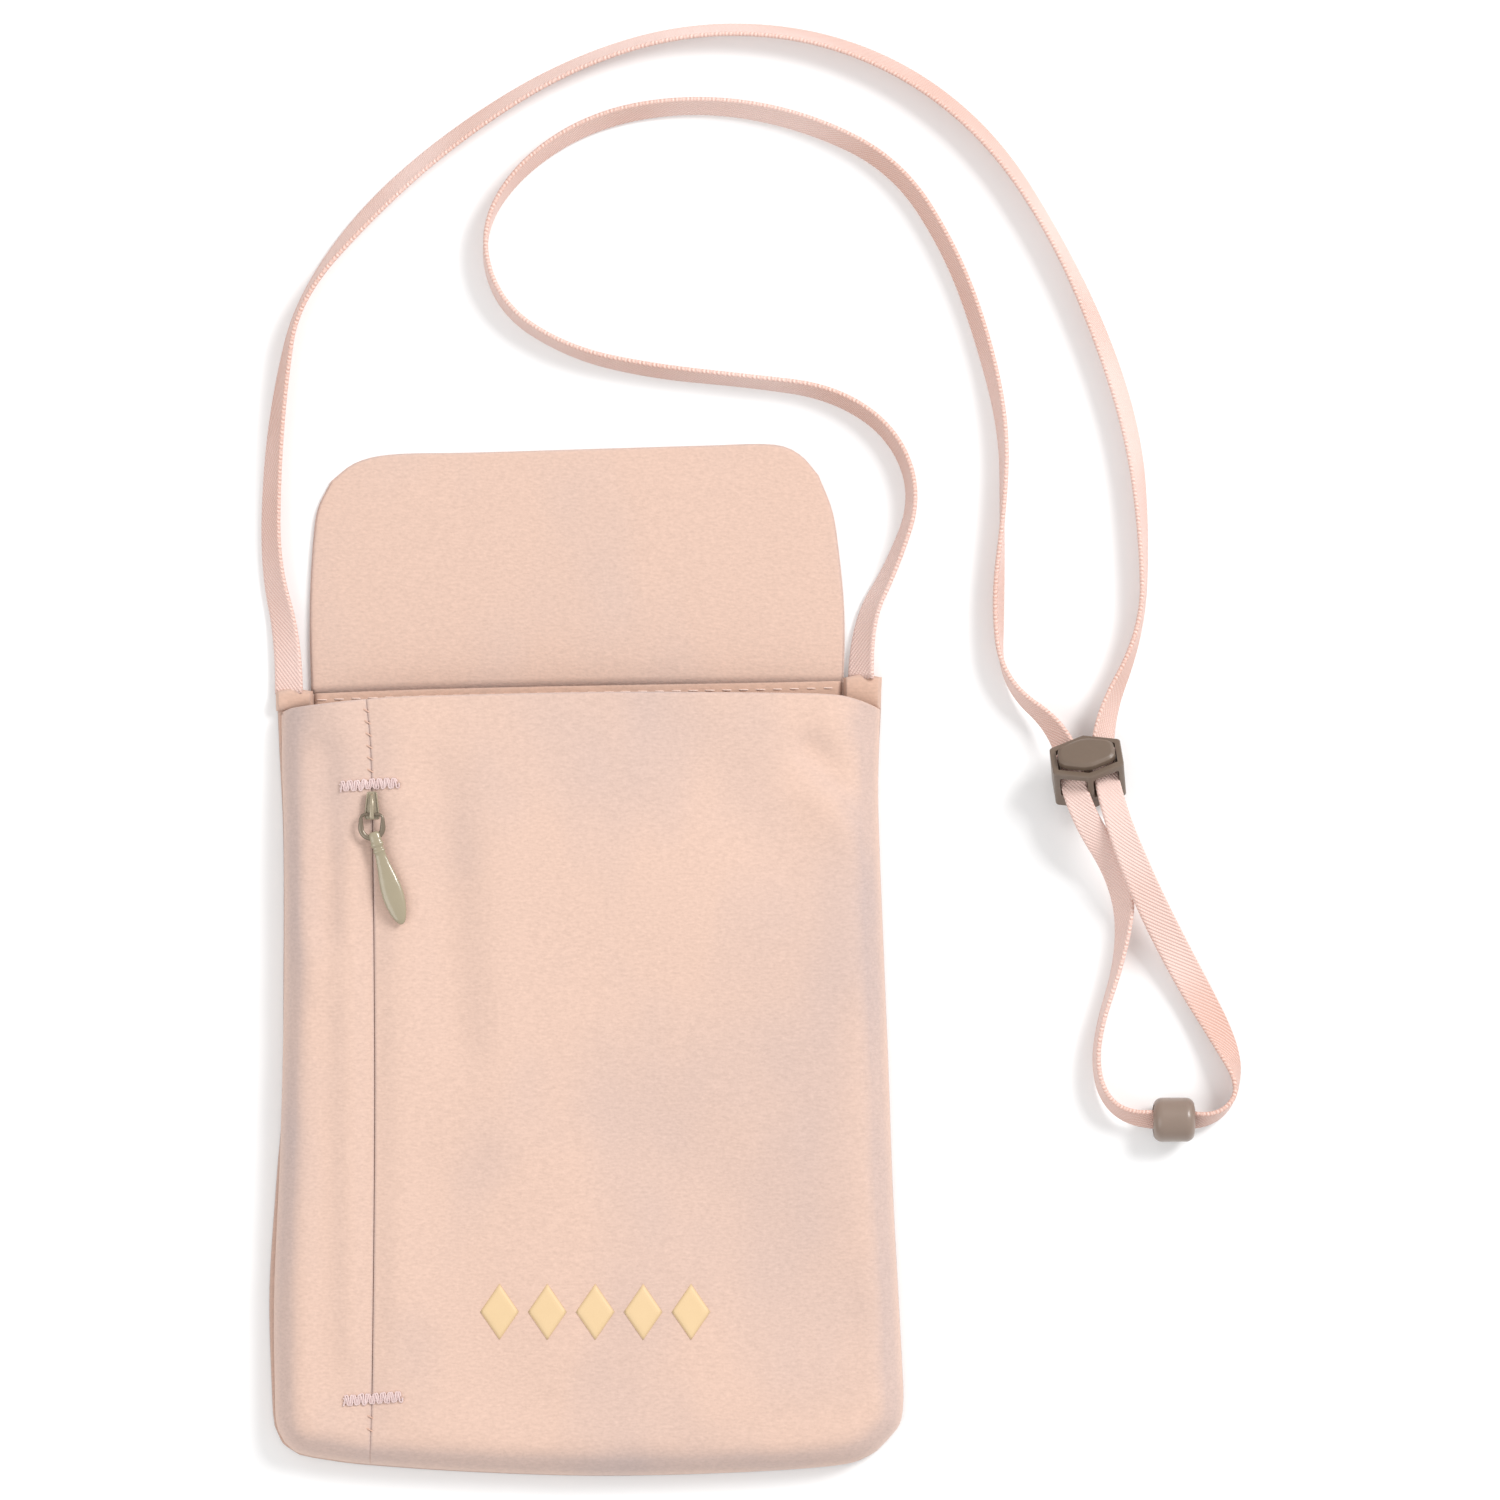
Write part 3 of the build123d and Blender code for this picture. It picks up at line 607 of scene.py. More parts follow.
def tucked(grid, edge, outward):
    """Adds the seam allowance that turns in under the first or last row of a grid."""
    row = grid[edge].copy()
    row[:, :2] -= outward
    row[:, 2] -= 0.05
    return np.concatenate([grid, row[None]]) if edge == -1 else np.concatenate([row[None], grid])


# Fine rows along an edge, to draw its round.
FINE_EDGE = [0.0, 0.14, 0.32, 0.55, 1.0]
# Nominal height and widths of the two panels, for the spacing of their rows.
PANEL_H, MAIN_W, SIDE_W = 131.0, 90.0, 16.0
# Rows from the base, where the cloth turns up round the edge, to the mouth.
v_rows = 1 - stations(PANEL_H, FINE_EDGE, 1.25, EDGE_R)[::-1]
# Half the open gap between the two panels, and how much wider it is along the pocket's opening.
GAP_HALF = 0.145
GAP_MORE = 0.055


def front_panel(name, side):
    """One half of the front: side -1 lies left of the zip, side +1 right of it."""
    y = zip_line[:, 1]
    opening = smooth_step(y, -77.0, -72.0) * smooth_step(-y, -29.0, -24.0)
    gap = GAP_HALF + GAP_MORE * opening
    zip_edge = zip_line + np.column_stack([side * gap, 0 * gap])
    split = np.argmin(np.abs(base_line[:, 0] - zip_line[0, 0]))
    top_split = np.argmin(np.abs(mouth_line[:, 0] - zip_line[-1, 0]))
    if side > 0:
        base = np.vstack([zip_edge[0][None], base_line[split + 2:]])
        top = np.vstack([zip_edge[-1][None], mouth_line[top_split + 2:]])
        u = stations(MAIN_W, FINE_EDGE, 1.15, EDGE_R)
        plan = patch(zip_edge, right_line, base, top, u, v_rows)
    else:
        base = np.vstack([base_line[:split - 1], zip_edge[0][None]])
        top = np.vstack([mouth_line[:top_split - 1], zip_edge[-1][None]])
        u = 1 - stations(SIDE_W, FINE_EDGE, 1.0, EDGE_R)[::-1]
        plan = patch(left_line, zip_edge, base, top, u, v_rows)
    height = front_height(plan)
    height -= rounded_off(line_distance(plan, zip_edge))
    height -= rounded_off(line_distance(plan, mouth_line))
    grid = np.concatenate([plan, np.maximum(height, SEAM_Z)[..., None]], axis=-1)
    grid = add_rolled(grid, -1, np.array([0.0, 1.0]))
    grid = tucked(grid, 0, np.array([0.0, -1.0]))
    zip_side, outer = (0, -1) if side > 0 else (-1, 0)
    outward = np.array([float(side), 0.0])
    turned = add_rolled(np.swapaxes(grid, 0, 1), zip_side, -outward)
    turned = tucked(turned, outer, outward)
    piece = mesh_from_grid(name, np.swapaxes(turned, 0, 1))
    thicken(piece, CLOTH_T)
    return piece


for part, side in (("main", 1), ("side", -1)):
    place(front_panel(f"front_{part}_cloth", side), "pouch", "shell_fabric", SHELL,
          f"front_panel_{part}")

# ================================================================ back, lining and facing
HEM_EDGE = [(-53.6, 45.3), (-30.0, 46.2), (0.0, 46.9), (30.0, 47.4), (50.4, 47.9)]


def flat_panel(name, left, right, base, top, low, thickness, wave, seed, edge_lift=0.0):
    """A cloth layer at height low with soft waves, its rim lifted by edge_lift."""
    u = stations(100.0, [0.0, 0.3, 0.9], 2.4, 3.0, 4)
    v = stations(130.0, [0.0, 0.3, 0.9], 2.4, 3.0, 4)
    plan = patch(left, right, base, top, u, v)
    rim = np.vstack([left[::-1], base, right])
    edge = line_distance(plan, rim)
    height = low + wave * (0.5 + 0.5 * ripple(plan, 28.0, seed)) * smooth_step(edge, 1.0, 8.0)
    height = height + edge_lift * (1 - smooth_step(edge, 0.0, 1.6))
    piece = mesh_from_grid(name, np.concatenate([plan, height[..., None]], axis=-1))
    thicken(piece, thickness)
    return piece


back_left = through([(-52.6, -83.4), (-54.0, -80.4), (-54.5, -74.0), (-54.9, -57.0), (-53.7, -38.0),
                     (-52.7, -25.0), (-52.5, -5.0), (-52.5, 20.0), (-53.2, 36.0), (-53.6, 45.3)])
back_right = through(RIGHT_EDGE[:-1] + [(50.3, 42.0), (50.4, 47.9)])
hem_line = through(HEM_EDGE)
back = flat_panel("back_cloth", back_left, back_right, base_line, hem_line,
                  BACK_T, 0.75, 0.0, 3.3, edge_lift=0.08)
place(back, "pouch", "shell_fabric", SHELL, "back_panel")


def drawn_in(edge, dx):
    """A side of the pouch moved by dx, its low end raised and the rest lowered."""
    return through([(x + dx, y + 3.4 if y < -60 else y - 2.4) for x, y in edge])


lining = flat_panel(
    "pocket_lining", drawn_in(LEFT_EDGE, 3.6), drawn_in(RIGHT_EDGE, -3.6),
    through([(x * 0.93, y + 3.4) for x, y in BASE_EDGE]),
    through([(x * 0.93, y - 2.4) for x, y in MOUTH_EDGE]),
    6.3, 0.3, 0.2, 7.9,
)
place(lining, "pouch", "lining_fabric", LINING, "pocket_divider")


def band(name, low_line, high_line, base_z, swell, ends=0.6, columns=120):
    """A strip of folded cloth between two plan lines, crowned in section and closed below.

    ends is the percentage of its length over which it thins out at each end.
    """
    rows = 9
    u = np.linspace(0, 1, columns)
    low, high = at_shares(low_line, u), at_shares(high_line, u)
    turn = np.linspace(0, 2 * math.pi, 2 * rows, endpoint=False)
    share = 0.5 - 0.5 * np.cos(turn)
    lift = np.sin(turn)
    plan = low[:, None] + (high - low)[:, None] * share[None, :, None]
    taper = np.sqrt(np.clip(np.minimum(u, 1 - u) / (ends / 100.0), 0.02, 1))[:, None]
    height = base_z + swell * np.where(lift > 0, 1.0 + lift, 1.0 + 0.9 * lift) * taper
    height = height + 0.10 * ripple(plan, 4.0, 2.2) * np.clip(lift, 0, 1)
    grid = np.concatenate([plan, height[..., None]], axis=-1)
    return mesh_from_grid(name, grid, closed=True, capped=True)


def hem_at(x):
    """The hem's y at the given x."""
    return float(np.interp(x, hem_line[:, 0], hem_line[:, 1]))


FACING_X = (-47.2, -30.0, -10.0, 10.0, 30.0, 43.6)
facing_low = through([(x, hem_at(x) - 3.3) for x in FACING_X])
facing_high = through([(x, hem_at(x) + 0.1) for x in FACING_X])
facing = band("mouth_facing_cloth", facing_low, facing_high, BACK_T, 0.30)
place(facing, "pouch", "facing_fabric", FACING, "mouth_facing")

for side, low, high in (
    ("left", [(-53.7, 42.6), (-51.0, 42.9), (-47.4, 43.4)],
     [(-53.8, 45.9), (-51.0, 46.5), (-47.4, 46.0)]),
    ("right", [(43.9, 44.0), (47.0, 43.4), (50.2, 43.0)],
     [(43.9, 48.3), (47.0, 48.9), (50.5, 48.4)]),
):
    tab = band(f"strap_tab_{side}_cloth", through(low), through(high), BACK_T + 0.3, 0.85, 8.0, 40)
    place(tab, "pouch", "facing_fabric", FACING, f"strap_tab_{side}")

# ================================================================ flap
FLAP_W, FLAP_H = 92.0, 42.0
FLAP_LEFT = [(-47.7, 45.6), (-48.0, 55.0), (-47.9, 64.0), (-47.4, 72.0), (-46.6, 77.5),
             (-44.3, 82.2)]
FLAP_RIGHT = [(43.9, 47.5), (44.1, 55.0), (43.9, 62.0), (43.1, 70.0), (42.0, 77.0), (39.6, 83.2)]
FLAP_TOP = [(-44.3, 82.2), (-40.0, 85.4), (-33.5, 86.8), (-20.0, 87.1), (0.0, 87.7), (20.0, 88.3),
            (31.5, 88.5), (36.3, 86.8), (39.6, 83.2)]
FLAP_BASE = [(-47.7, 45.6), (-25.0, 46.3), (0.0, 46.9), (25.0, 47.2), (43.9, 47.5)]
FLAP_FOLDS = [
    ((-12.0, 52.0), (-6.0, 84.0), 4.5, -0.26),
    ((2.0, 54.0), (10.0, 86.0), 5.0, 0.22),
    ((-34.0, 52.0), (-30.0, 80.0), 5.0, 0.16),
    ((24.0, 56.0), (33.0, 84.0), 4.0, -0.20),
    ((-40.0, 60.0), (-42.0, 78.0), 3.0, -0.14),
]
flap_left, flap_right = through(FLAP_LEFT), through(FLAP_RIGHT)
flap_top, flap_base = through(FLAP_TOP), through(FLAP_BASE)
flap_rim = np.vstack([flap_left, flap_top, flap_right[::-1]])


def flap_layer(name, low, high, crown, inset):
    """One layer of the flap, a closed thin pillow between heights low and high."""
    fine = [0.0, 0.12, 0.35, 0.7, 1.2, 2.0]
    stops = stations(FLAP_W, fine, 1.6)
    u = np.concatenate([stops[stops < 0.5], (1 - stops[stops < 0.5])[::-1]])
    v = 1 - stations(FLAP_H, fine, 1.5)[::-1]
    plan = patch(flap_left, flap_right, flap_base, flap_top, u, v)
    edge = line_distance(plan, flap_rim)
    middle = np.array([-2.0, 66.0])
    plan = plan + (middle - plan) * (inset / 45.0)
    swell = np.sqrt(np.clip(1 - (1 - np.clip(edge / 0.8, 0, 1)) ** 2, 0, 1))
    wave = 0.10 * ripple(plan, 22.0, 5.0)
    for start, end, width, depth in FLAP_FOLDS:
        reach = line_distance(plan, np.array([start, end], float))
        wave = wave + depth * np.exp(-(reach / width) ** 2)
    soft = smooth_step(edge, 0.5, 7.0)
    middle_z = (low + high) / 2
    up = middle_z + swell * ((high - middle_z) + crown * soft * (1 + wave * 3.2))
    down = middle_z - swell * (middle_z - low)
    top = np.concatenate([plan, up[..., None]], axis=-1)
    bottom = np.concatenate([plan, down[..., None]], axis=-1)
    return shell_between(name, top, bottom)


flap_face = flap_layer("flap_lining_cloth", 0.55, 0.95, 0.16, 0.25)
flap_back = flap_layer("flap_outer_cloth", 0.02, 0.52, 0.0, 0.0)
for piece, cad_node, slot, material in (
    (flap_face, "flap_inner", "lining_fabric", LINING),
    (flap_back, "flap_outer", "shell_fabric", SHELL),
):
    place(piece, None, slot, material, cad_node)
    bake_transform(piece)


# ================================================================ thread work
def thread(name, paths, radius, body, slot, material, *replaces):
    """Runs of thread along the given paths, as one piece of round tubes."""
    curve = bpy.data.curves.new(name, "CURVE")
    curve.dimensions = "3D"
    curve.bevel_depth = radius * MM
    curve.bevel_resolution = 2
    curve.use_fill_caps = True
    for path in paths:
        spline = curve.splines.new("BEZIER")
        spline.bezier_points.add(len(path) - 1)
        for point, at in zip(spline.bezier_points, path):
            point.co = tuple(c * MM for c in at)
            point.handle_left_type = point.handle_right_type = "AUTO"
        spline.resolution_u = 4
    holder = bpy.data.objects.new(name, curve)
    mesh = bpy.data.meshes.new_from_object(holder)
    bpy.data.objects.remove(holder)
    return place(show(mesh, name), body, slot, material, *replaces)


def front_z(x, y):
    """Height of the front cloth at one point."""
    return float(front_height(np.array([[x, y]], float))[0])


def bar_tack(word, centre, seed):
    """A ragged zigzag over the seam, laid twice over two under-threads."""
    length, half, strokes = 10.0, 0.86, 15
    tilt = math.radians(4.0)
    cos_t, sin_t = math.cos(tilt), math.sin(tilt)

    def at(along, across, lift):
        """A point on the tack's own axes, lift above the cloth."""
        x = centre[0] + along * cos_t - across * sin_t
        y = centre[1] + along * sin_t + across * cos_t
        return (x, y, front_z(x, y) + lift)

    runs = []
    for layer in range(2):
        zigzag = []
        for stroke in range(strokes + 1):
            along = -length / 2 + (length - 0.4) * (stroke + 0.5 * layer) / strokes
            wobble = noise.noise(Vector((stroke * 0.9, seed, layer * 3.0)))
            sign = 1 if (stroke + layer) % 2 else -1
            across = sign * (half + 0.3 * wobble)
            zigzag.append(at(along + 0.25 * wobble, across, 0.12 + 0.05 * layer))
            zigzag.append(at(along + 0.32, sign * 0.1, 0.30 + 0.08 * layer))
        runs.append(zigzag)
    for row in (-0.35, 0.35):
        runs.append([at(-length / 2 + length * k / 10, row, 0.12) for k in range(11)])
    thread(f"bar_tack_{word}_thread", runs, 0.16, "pouch", "thread", TACK_THREAD,
           f"bar_tack_{word}")


bar_tack("top", (-37.5, 30.0), 1.3)
bar_tack("bottom", (-36.9, -75.2), 5.1)


def pick_stitches():
    """Small slanted stitches that close the seam above the top bar tack and below the lower one."""
    paths = []
    for y in [32.3, 34.4, 36.4, 38.5, 40.6, 42.6, -78.4, -80.6]:
        x = float(np.interp(y, zip_line[:, 1], zip_line[:, 0]))
        z = front_z(x, y)
        paths.append([(x - 0.75, y + 0.35, z - 0.1), (x - 0.3, y + 0.15, z + 0.12),
                      (x + 0.15, y - 0.1, z + 0.02), (x + 0.5, y - 0.3, z - 0.15)])
    return paths


thread("seam_thread", pick_stitches(), 0.11, "pouch", "thread", SEAM_THREAD, "seam_stitches")


def running_stitches():
    """A row of short stitches along the facing."""
    paths = []
    for x in np.arange(-45.8, 43.0, 2.9):
        y = hem_at(x) - 1.1
        low, high = BACK_T + 0.62 - 0.22, BACK_T + 0.62 + 0.02
        paths.append([(x - 0.85, y, low), (x - 0.5, y, high), (x + 0.5, y, high), (x + 0.85, y, low)])
    return paths


thread("mouth_thread", running_stitches(), 0.14, "pouch", "thread", PALE_THREAD, "mouth_stitches")

# ================================================================ emblem
EMBLEM_AT = (1.3, -60.3)
LOZENGES, LOZENGE_PITCH = 5, 8.2
LOZENGE_HALF_W, LOZENGE_HALF_H = 3.3, 4.8


def lozenge(centre_x):
    """Top and bottom grids of one raised lozenge that follows the front cloth."""
    t = np.linspace(-1, 1, 11)
    s, r = np.meshgrid(t, t)
    x = centre_x + LOZENGE_HALF_W * (s + r) / 2
    y = EMBLEM_AT[1] + LOZENGE_HALF_H * (s - r) / 2
    plan = np.stack([x, y], -1)
    base = front_height(plan)
    rim = np.minimum(1 - np.abs(s), 1 - np.abs(r))
    top = base + 0.10 + 0.20 * np.sqrt(np.clip(rim / 0.2, 0, 1))
    return [np.concatenate([plan, z[..., None]], -1)[::-1] for z in (top, base - 0.1)]


def emblem():
    """A row of plain lozenges, as one raised print."""
    parts = []
    for k in range(LOZENGES):
        centre_x = EMBLEM_AT[0] + (k - LOZENGES // 2) * LOZENGE_PITCH
        parts.append(shell_between(f"lozenge_{k}", *lozenge(centre_x)))
    return joined(parts, "emblem_print")


place(emblem(), "pouch", "print", PRINT, "emblem")


# ================================================================ zip pull
def loft(name, sections):
    """A solid through rounded sections: (centre, x direction, half width, half height)."""
    turn = np.linspace(0, 2 * math.pi, 28, endpoint=False)
    rings = []
    for centre, direction, half_w, half_h in sections:
        c, s = np.cos(turn), np.sin(turn)
        across = np.sign(c) * np.abs(c) ** 0.8 * half_w
        up = np.sign(s) * np.abs(s) ** 0.8 * half_h
        rings.append(np.array(centre)[None] + across[:, None] * np.array(direction)[None]
                     + up[:, None] * np.array((0.0, 0.0, 1.0))[None])
    return mesh_from_grid(name, np.array(rings), closed=True, capped=True)


ZIP_X = -36.9
ZIP_Y = (-74.5, 28.5)    # the coils' ends
TAPE_Y = (-79.0, 41.0)   # the tapes' ends
COIL_Z = 7.35
X_DIR = (1.0, 0.0, 0.0)


def zip_tape(word, side):
    """One woven tape under the front cloth, from the coil outwards."""
    across = np.array([1.0, 1.15, 1.5, 2.2, 3.1, 4.0, 4.9, 5.7, 6.1, 6.3]) * side
    along = np.linspace(*TAPE_Y, 110)
    x, y = np.meshgrid(ZIP_X + across, along)
    plan = np.stack([x, y], -1)
    cover = front_height(plan)
    under = np.minimum(cover - 0.62, COIL_Z + 0.25 * (np.abs(x - ZIP_X) - 1.0))
    low = np.concatenate([plan, (under - 0.28)[..., None]], -1)
    top = np.concatenate([plan, under[..., None]], -1)
    if side < 0:
        top, low = top[:, ::-1], low[:, ::-1]
    piece = shell_between(f"zip_tape_{word}_weave", top, low)
    place(piece, "pouch", "zip_tape", TAPE, f"zip_tape_{word}")


def zip_coil(word, side):
    """One open coil, a flattened helix along the tape's edge."""
    pitch, steps = 1.1, 6
    count = int((ZIP_Y[1] - ZIP_Y[0]) / pitch) * steps
    path = []
    for k in range(count):
        turn = 2 * math.pi * k / steps
        x = ZIP_X + side * (0.92 - 0.40 * math.cos(turn))
        path.append((x, ZIP_Y[0] + pitch * k / steps, COIL_Z + 0.25 * math.sin(turn)))
    thread(f"zip_coil_{word}_turns", [path], 0.12, "pouch", "zip_coil", NYLON, f"zip_coil_{word}")


for build in (zip_tape, zip_coil):
    build("left", -1)
    build("right", 1)

# Along the zip: y, height of the middle, half width and half thickness of each part of the slider.
SLIDER_PLATE = [(28.82, 9.12, 0.55, 0.10), (28.72, 9.12, 0.80, 0.20), (28.4, 9.12, 0.94, 0.22),
                (26.6, 9.12, 1.12, 0.22), (24.5, 9.12, 1.36, 0.22), (24.15, 9.12, 1.28, 0.20),
                (24.0, 9.12, 1.0, 0.10)]
SLIDER_CROWN = [(28.5, 9.2, 0.24, 0.12), (28.3, 9.5, 0.28, 0.24), (27.8, 9.95, 0.30, 0.22),
                (27.0, 10.26, 0.32, 0.18), (26.0, 10.42, 0.34, 0.16), (24.9, 10.42, 0.36, 0.16),
                (24.4, 10.34, 0.40, 0.22), (24.1, 10.05, 0.42, 0.40), (23.95, 9.75, 0.36, 0.34)]
SLIDER_NECK = [(27.7, 7.95, 0.1, 0.9), (27.4, 7.95, 0.28, 1.0), (24.9, 7.95, 0.28, 1.0),
               (24.6, 7.95, 0.1, 0.9)]
SLIDER_FOOT = [(28.3, 6.8, 1.2, 0.1), (28.1, 6.8, 1.9, 0.2), (26.2, 6.8, 2.3, 0.2),
               (24.2, 6.8, 2.3, 0.2), (23.9, 6.8, 1.6, 0.1)]


def build_slider():
    """Two plates on a neck, raised lips along the upper plate, and the crown that holds the ring."""
    parts = []
    for share in (SLIDER_PLATE, SLIDER_CROWN, SLIDER_NECK, SLIDER_FOOT):
        parts.append(loft("slider", [((ZIP_X, y, z), X_DIR, w, h) for y, z, w, h in share]))
    for side in (-1, 1):
        parts.append(loft("slider", [((ZIP_X + side * (w - 0.15), y, z + 0.26), X_DIR, 0.13, 0.20)
                                     for y, z, w, _ in SLIDER_PLATE[1:-1]]))
    return joined(parts, "zip_slider_body")


# The ring's place follows its CAD piece, and the pull hangs from the ring's foot.
PULL_LEAN = math.radians(17.4)
link_low, link_high = [np.array(c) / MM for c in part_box("zip_pull_link")]
RING_Z = float(link_low[2] + link_high[2]) / 2
RING_X = float(link_low[0] + link_high[0]) / 2
RING_TOP_Y = float(link_high[1]) - 0.25
RING_R = 1.88
RING_L = 4.1
RING_FOOT_Y = RING_TOP_Y - RING_L + RING_R
DOWN = np.array([math.sin(PULL_LEAN), -math.cos(PULL_LEAN), 0.0])
ACROSS = np.array([math.cos(PULL_LEAN), math.sin(PULL_LEAN), 0.0])
EYE = np.array([RING_X, RING_FOOT_Y, RING_Z]) + RING_R * DOWN

# Distance from the eye, half width, half thickness along the moulded pull.
PULL_SHAPE = [(-1.05, 0.45, 0.25), (-0.95, 0.80, 0.46), (-0.5, 0.98, 0.62), (0.4, 0.98, 0.64),
              (0.8, 0.96, 0.60), (0.95, 1.12, 0.68), (1.45, 1.12, 0.68), (1.6, 0.92, 0.52),
              (2.05, 0.90, 0.50), (2.2, 1.06, 0.64), (2.55, 1.04, 0.62), (2.7, 0.92, 0.50),
              (3.6, 0.98, 0.47), (5.2, 1.22, 0.50), (7.0, 1.55, 0.56), (8.8, 1.80, 0.60),
              (10.4, 1.88, 0.60), (12.0, 1.74, 0.56), (13.4, 1.42, 0.50), (14.5, 1.02, 0.42),
              (15.2, 0.62, 0.28), (15.5, 0.2, 0.12)]
place(build_slider(), "slider", "zip_metal", LACQUER, "zip_slider")
pull = loft("zip_pull_enamel", [(EYE + DOWN * d, ACROSS, w, h) for d, w, h in PULL_SHAPE])
place(pull, "pull", "pull_plastic", PULL, "zip_pull_tab")


def ring_path():
    """The link's centre line: a bar at the top and a round foot."""
    points = []
    corner = 0.8
    side, top = RING_R - corner, RING_TOP_Y - corner
    quarter = np.linspace(0, math.pi / 2, 6)
    for turn in quarter:
        points.append((RING_X + side + corner * math.sin(turn), top + corner * math.cos(turn)))
    for turn in np.linspace(0, math.pi, 16):
        points.append((RING_X + RING_R * math.cos(turn), RING_FOOT_Y - RING_R * math.sin(turn)))
    for turn in quarter:
        points.append((RING_X - side - corner * math.cos(turn), top + corner * math.sin(turn)))
    return np.array(points)


def build_ring():
    """A closed ring of slightly flattened wire."""
    path = ring_path()
    ahead = np.roll(path, -1, axis=0) - np.roll(path, 1, axis=0)
    ahead /= np.linalg.norm(ahead, axis=1)[:, None]
    out = np.column_stack([ahead[:, 1], -ahead[:, 0]])
    turn = np.linspace(0, 2 * math.pi, 14, endpoint=False)
    grid = np.zeros((len(path) + 1, len(turn), 3))
    for k in range(len(path) + 1):
        at, away = path[k % len(path)], out[k % len(path)]
        width = 0.26 + 0.22 * float(smooth_step(RING_TOP_Y - at[1], 0.5, 1.4))
        grid[k, :, :2] = at + away * (width * np.cos(turn))[:, None]
        grid[k, :, 2] = RING_Z + 0.26 * np.sin(turn)
    piece = mesh_from_grid("zip_link_ring", grid[::-1], closed=True)
    weld = piece.modifiers.new("weld", "WELD")
    weld.merge_threshold = 1e-7
    apply_modifiers(piece)
    return piece


place(build_ring(), "link", "zip_metal", BRASS, "zip_pull_link")

# ================================================================ cord lock cap
LOCK_AT = np.array([86.1, 29.6, 2.75])
LOCK_YAW, LOCK_PITCH = math.radians(8.0), math.radians(36.0)
LOCK_X = np.array([math.cos(LOCK_YAW), math.sin(LOCK_YAW), 0.0])
LOCK_UP = np.array([-math.sin(LOCK_YAW) * math.sin(LOCK_PITCH),
                    math.cos(LOCK_YAW) * math.sin(LOCK_PITCH), math.cos(LOCK_PITCH)])
LOCK_Y = np.cross(LOCK_UP, LOCK_X)
CAP_HALF = np.array([4.82, 3.1])
CAP_CORNERS = [(4.05, 2.02), (0.8, 3.02), (-0.8, 3.02), (-4.05, 2.02), (-4.82, 1.15),
               (-4.82, -1.15), (-4.05, -2.02), (-0.8, -3.02), (0.8, -3.02), (4.05, -2.02),
               (4.82, -1.15), (4.82, 1.15)]
CHEEK_CORNERS = [(0.22, 1.1), (-0.22, 1.1), (-0.22, -1.1), (0.22, -1.1)]
CHEEK_X = 4.7
# Height over the lock's floor and how far the outline is pulled in, from the skirt to the top.
CAP_STEPS = [(8.95, 0.10), (9.0, 0.0), (9.95, 0.0), (10.08, 0.07), (10.30, 0.40), (10.38, 0.60),
             (10.41, 1.2), (10.43, 2.2)]
PLATE_STEPS = [(2.8, 0.0), (3.4, 0.0)]
CHEEK_STEPS = [(3.35, 0.0), (9.1, 0.0)]


def corners_cut(corners, share, times):
    """An outline with each corner cut, several times over."""
    ring = np.array(corners)
    for _ in range(times):
        ahead = np.roll(ring, -1, axis=0)
        ring = np.stack([ring * (1 - share) + ahead * share, ring * share + ahead * (1 - share)], 1)
        ring = ring.reshape(-1, 2)
    return ring


def lock_prism(ring, steps, offset=0.0):
    """A solid along the press axis with the outline pulled in as the steps say."""
    rings = []
    for height, pull_in in steps:
        shrunk = ring * (1 - pull_in / CAP_HALF) + (offset, 0)
        rings.append(LOCK_AT + shrunk[:, :1] * LOCK_X + shrunk[:, 1:] * LOCK_Y + height * LOCK_UP)
    return mesh_from_grid("lock_cap", np.array(rings), closed=True, capped=True)


def build_button():
    """A many-sided cap with a soft chamfer, two cheeks and the plate that clamps the tape."""
    cap = corners_cut(CAP_CORNERS, 0.14, 2)
    cheek = corners_cut(CHEEK_CORNERS, 0.2, 1)
    parts = [lock_prism(cap, CAP_STEPS), lock_prism(cap, PLATE_STEPS)]
    parts += [lock_prism(cheek, CHEEK_STEPS, side * CHEEK_X) for side in (-1, 1)]
    return joined(parts, "lock_press_cap")


# The cap's facets are flat.
button = build_button()
button.data.polygons.foreach_set("use_smooth", [False] * len(button.data.polygons))
place(button, "button", "lock_plastic", TAUPE, "lock_button")

SPRING_FROM, SPRING_TO, SPRING_R, SPRING_TURNS = 1.0, 2.6, 1.9, 2.0
SPRING_WIRE_R = 0.2


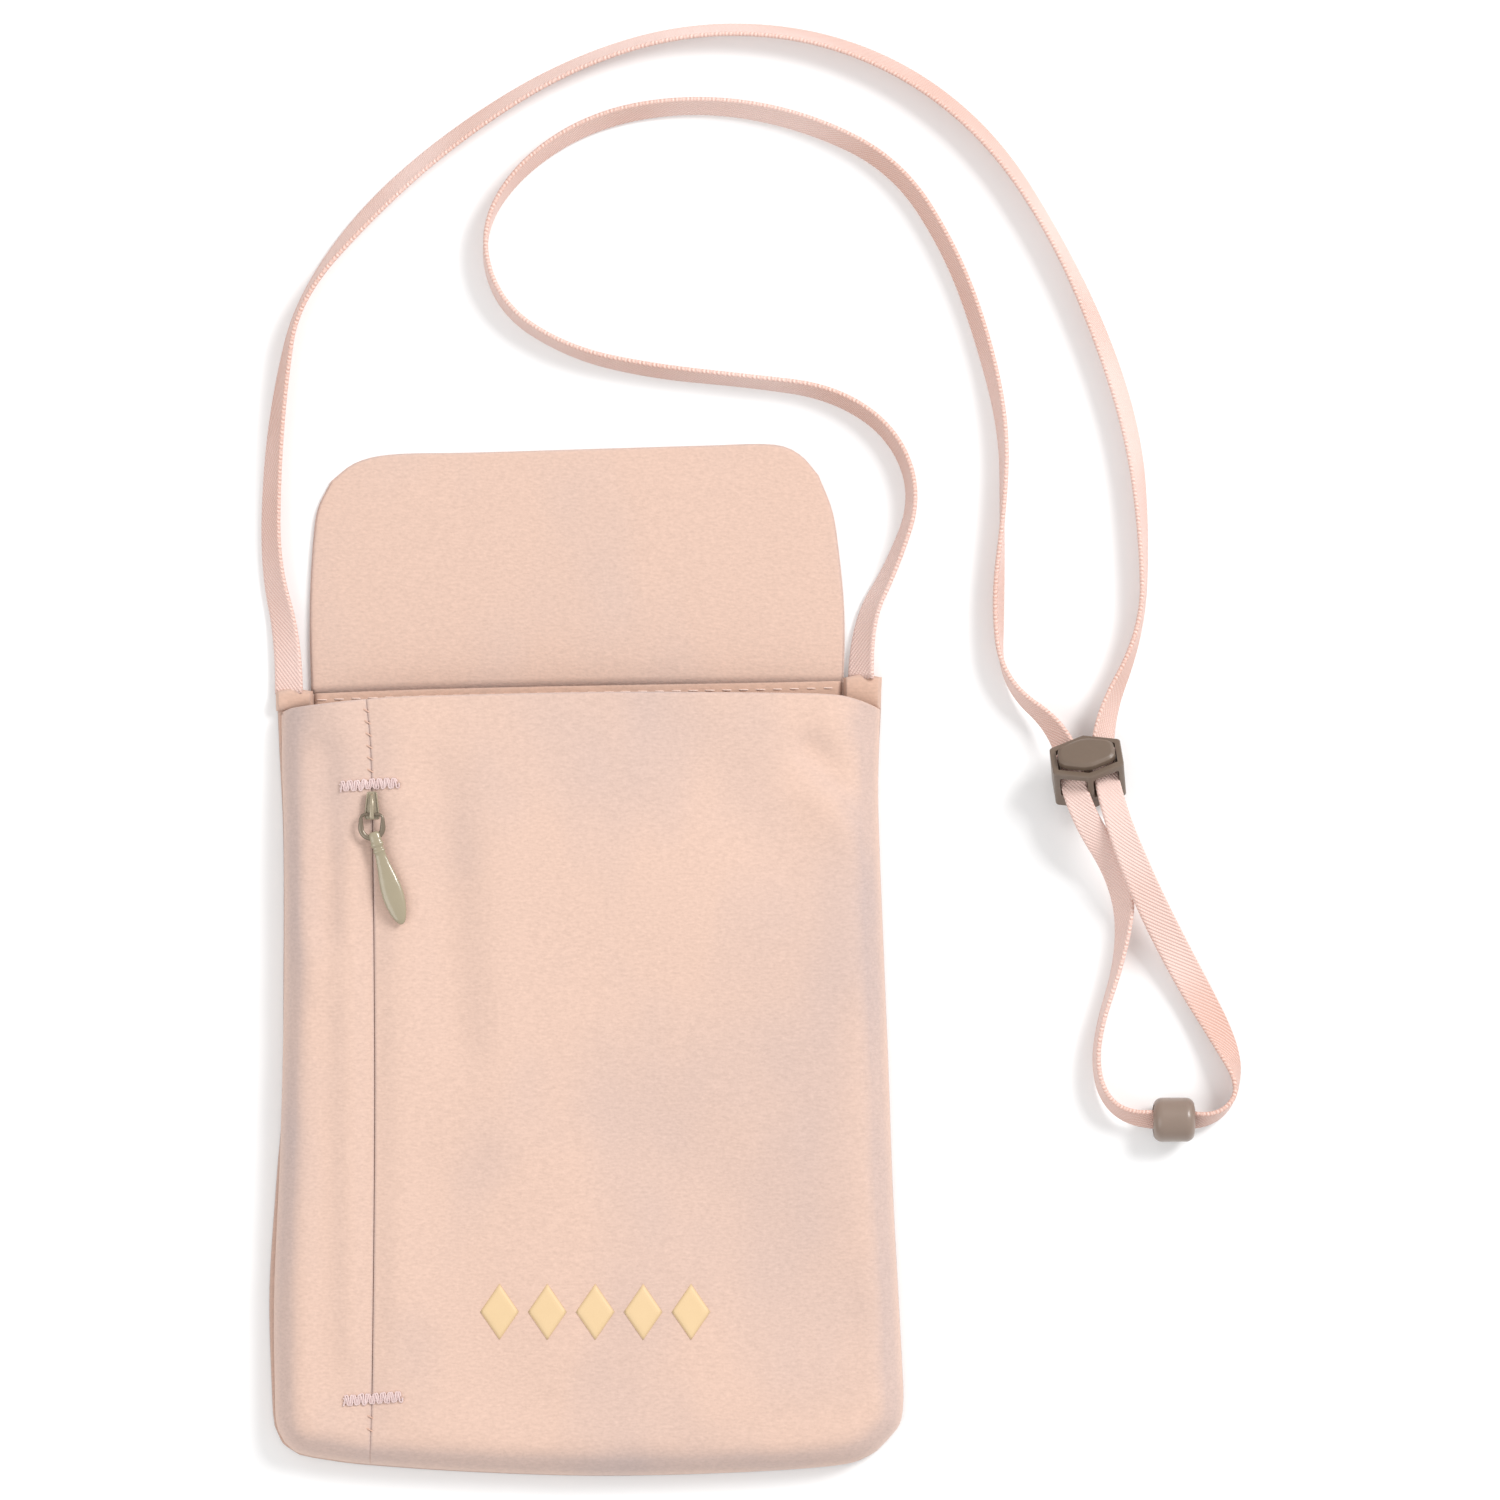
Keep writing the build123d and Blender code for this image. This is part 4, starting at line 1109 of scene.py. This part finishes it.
def spring_path():
    """The spring under the plate, a short helix about the press axis."""
    path = []
    for share in np.linspace(0, 1, 25):
        turn = 2 * math.pi * SPRING_TURNS * share
        at = LOCK_AT + SPRING_R * (math.cos(turn) * LOCK_X + math.sin(turn) * LOCK_Y)
        path.append(tuple(at + (SPRING_FROM + (SPRING_TO - SPRING_FROM) * share) * LOCK_UP))
    return path


spring = thread("lock_spring_wire", [spring_path()], SPRING_WIRE_R, "lock", "spring_steel", STEEL,
                "lock_spring")
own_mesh(spring)

# ================================================================ CAD pieces that show as they are
for node, material in (("lock_housing", TAUPE), ("strap_bead", BEAD)):
    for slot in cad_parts[node].material_slots:
        slot.material = material

# ================================================================ floor and light
FLOOR_HALF = 3         # in metres
floor_mesh = bpy.data.meshes.new("floor")
corners = [(x * FLOOR_HALF, y * FLOOR_HALF, 0) for x, y in ((-1, -1), (1, -1), (1, 1), (-1, 1))]
floor_mesh.from_pydata(corners, [], [(0, 1, 2, 3)])
floor = bpy.data.objects.new("floor", floor_mesh)
bpy.context.scene.collection.objects.link(floor)
floor_finish = Graph("pale floor")
floor_finish.finish({"Base Color": (0.93, 0.93, 0.93), "Roughness": 0.9})
floor_mesh.materials.append(floor_finish.material)
floor.location = (0, 0, -0.0002)


def soft_light(name, at, target, size, watts):
    """A square area light that points at a target, all lengths in metres."""
    lamp = bpy.data.lights.new(name, "AREA")
    lamp.size = size
    lamp.energy = watts
    holder = bpy.data.objects.new(name, lamp)
    holder.location = at
    holder.rotation_euler = (Vector(target) - Vector(at)).to_track_quat("-Z", "Y").to_euler()
    bpy.context.scene.collection.objects.link(holder)


POUCH_MIDDLE = (0.02, 0.03, 0)
soft_light("key", (1.0, 0.8, 1.1), POUCH_MIDDLE, size=0.6, watts=20)
soft_light("fill", (-1.0, -0.4, 1.3), POUCH_MIDDLE, size=1.2, watts=8)
world = bpy.data.worlds.new("studio")
world.use_nodes = True
background = world.node_tree.nodes["Background"]
background.inputs["Color"].default_value = (1.0, 1.0, 1.0, 1.0)
background.inputs["Strength"].default_value = 0.72
bpy.context.scene.world = world
bpy.context.scene.view_settings.view_transform = "Standard"
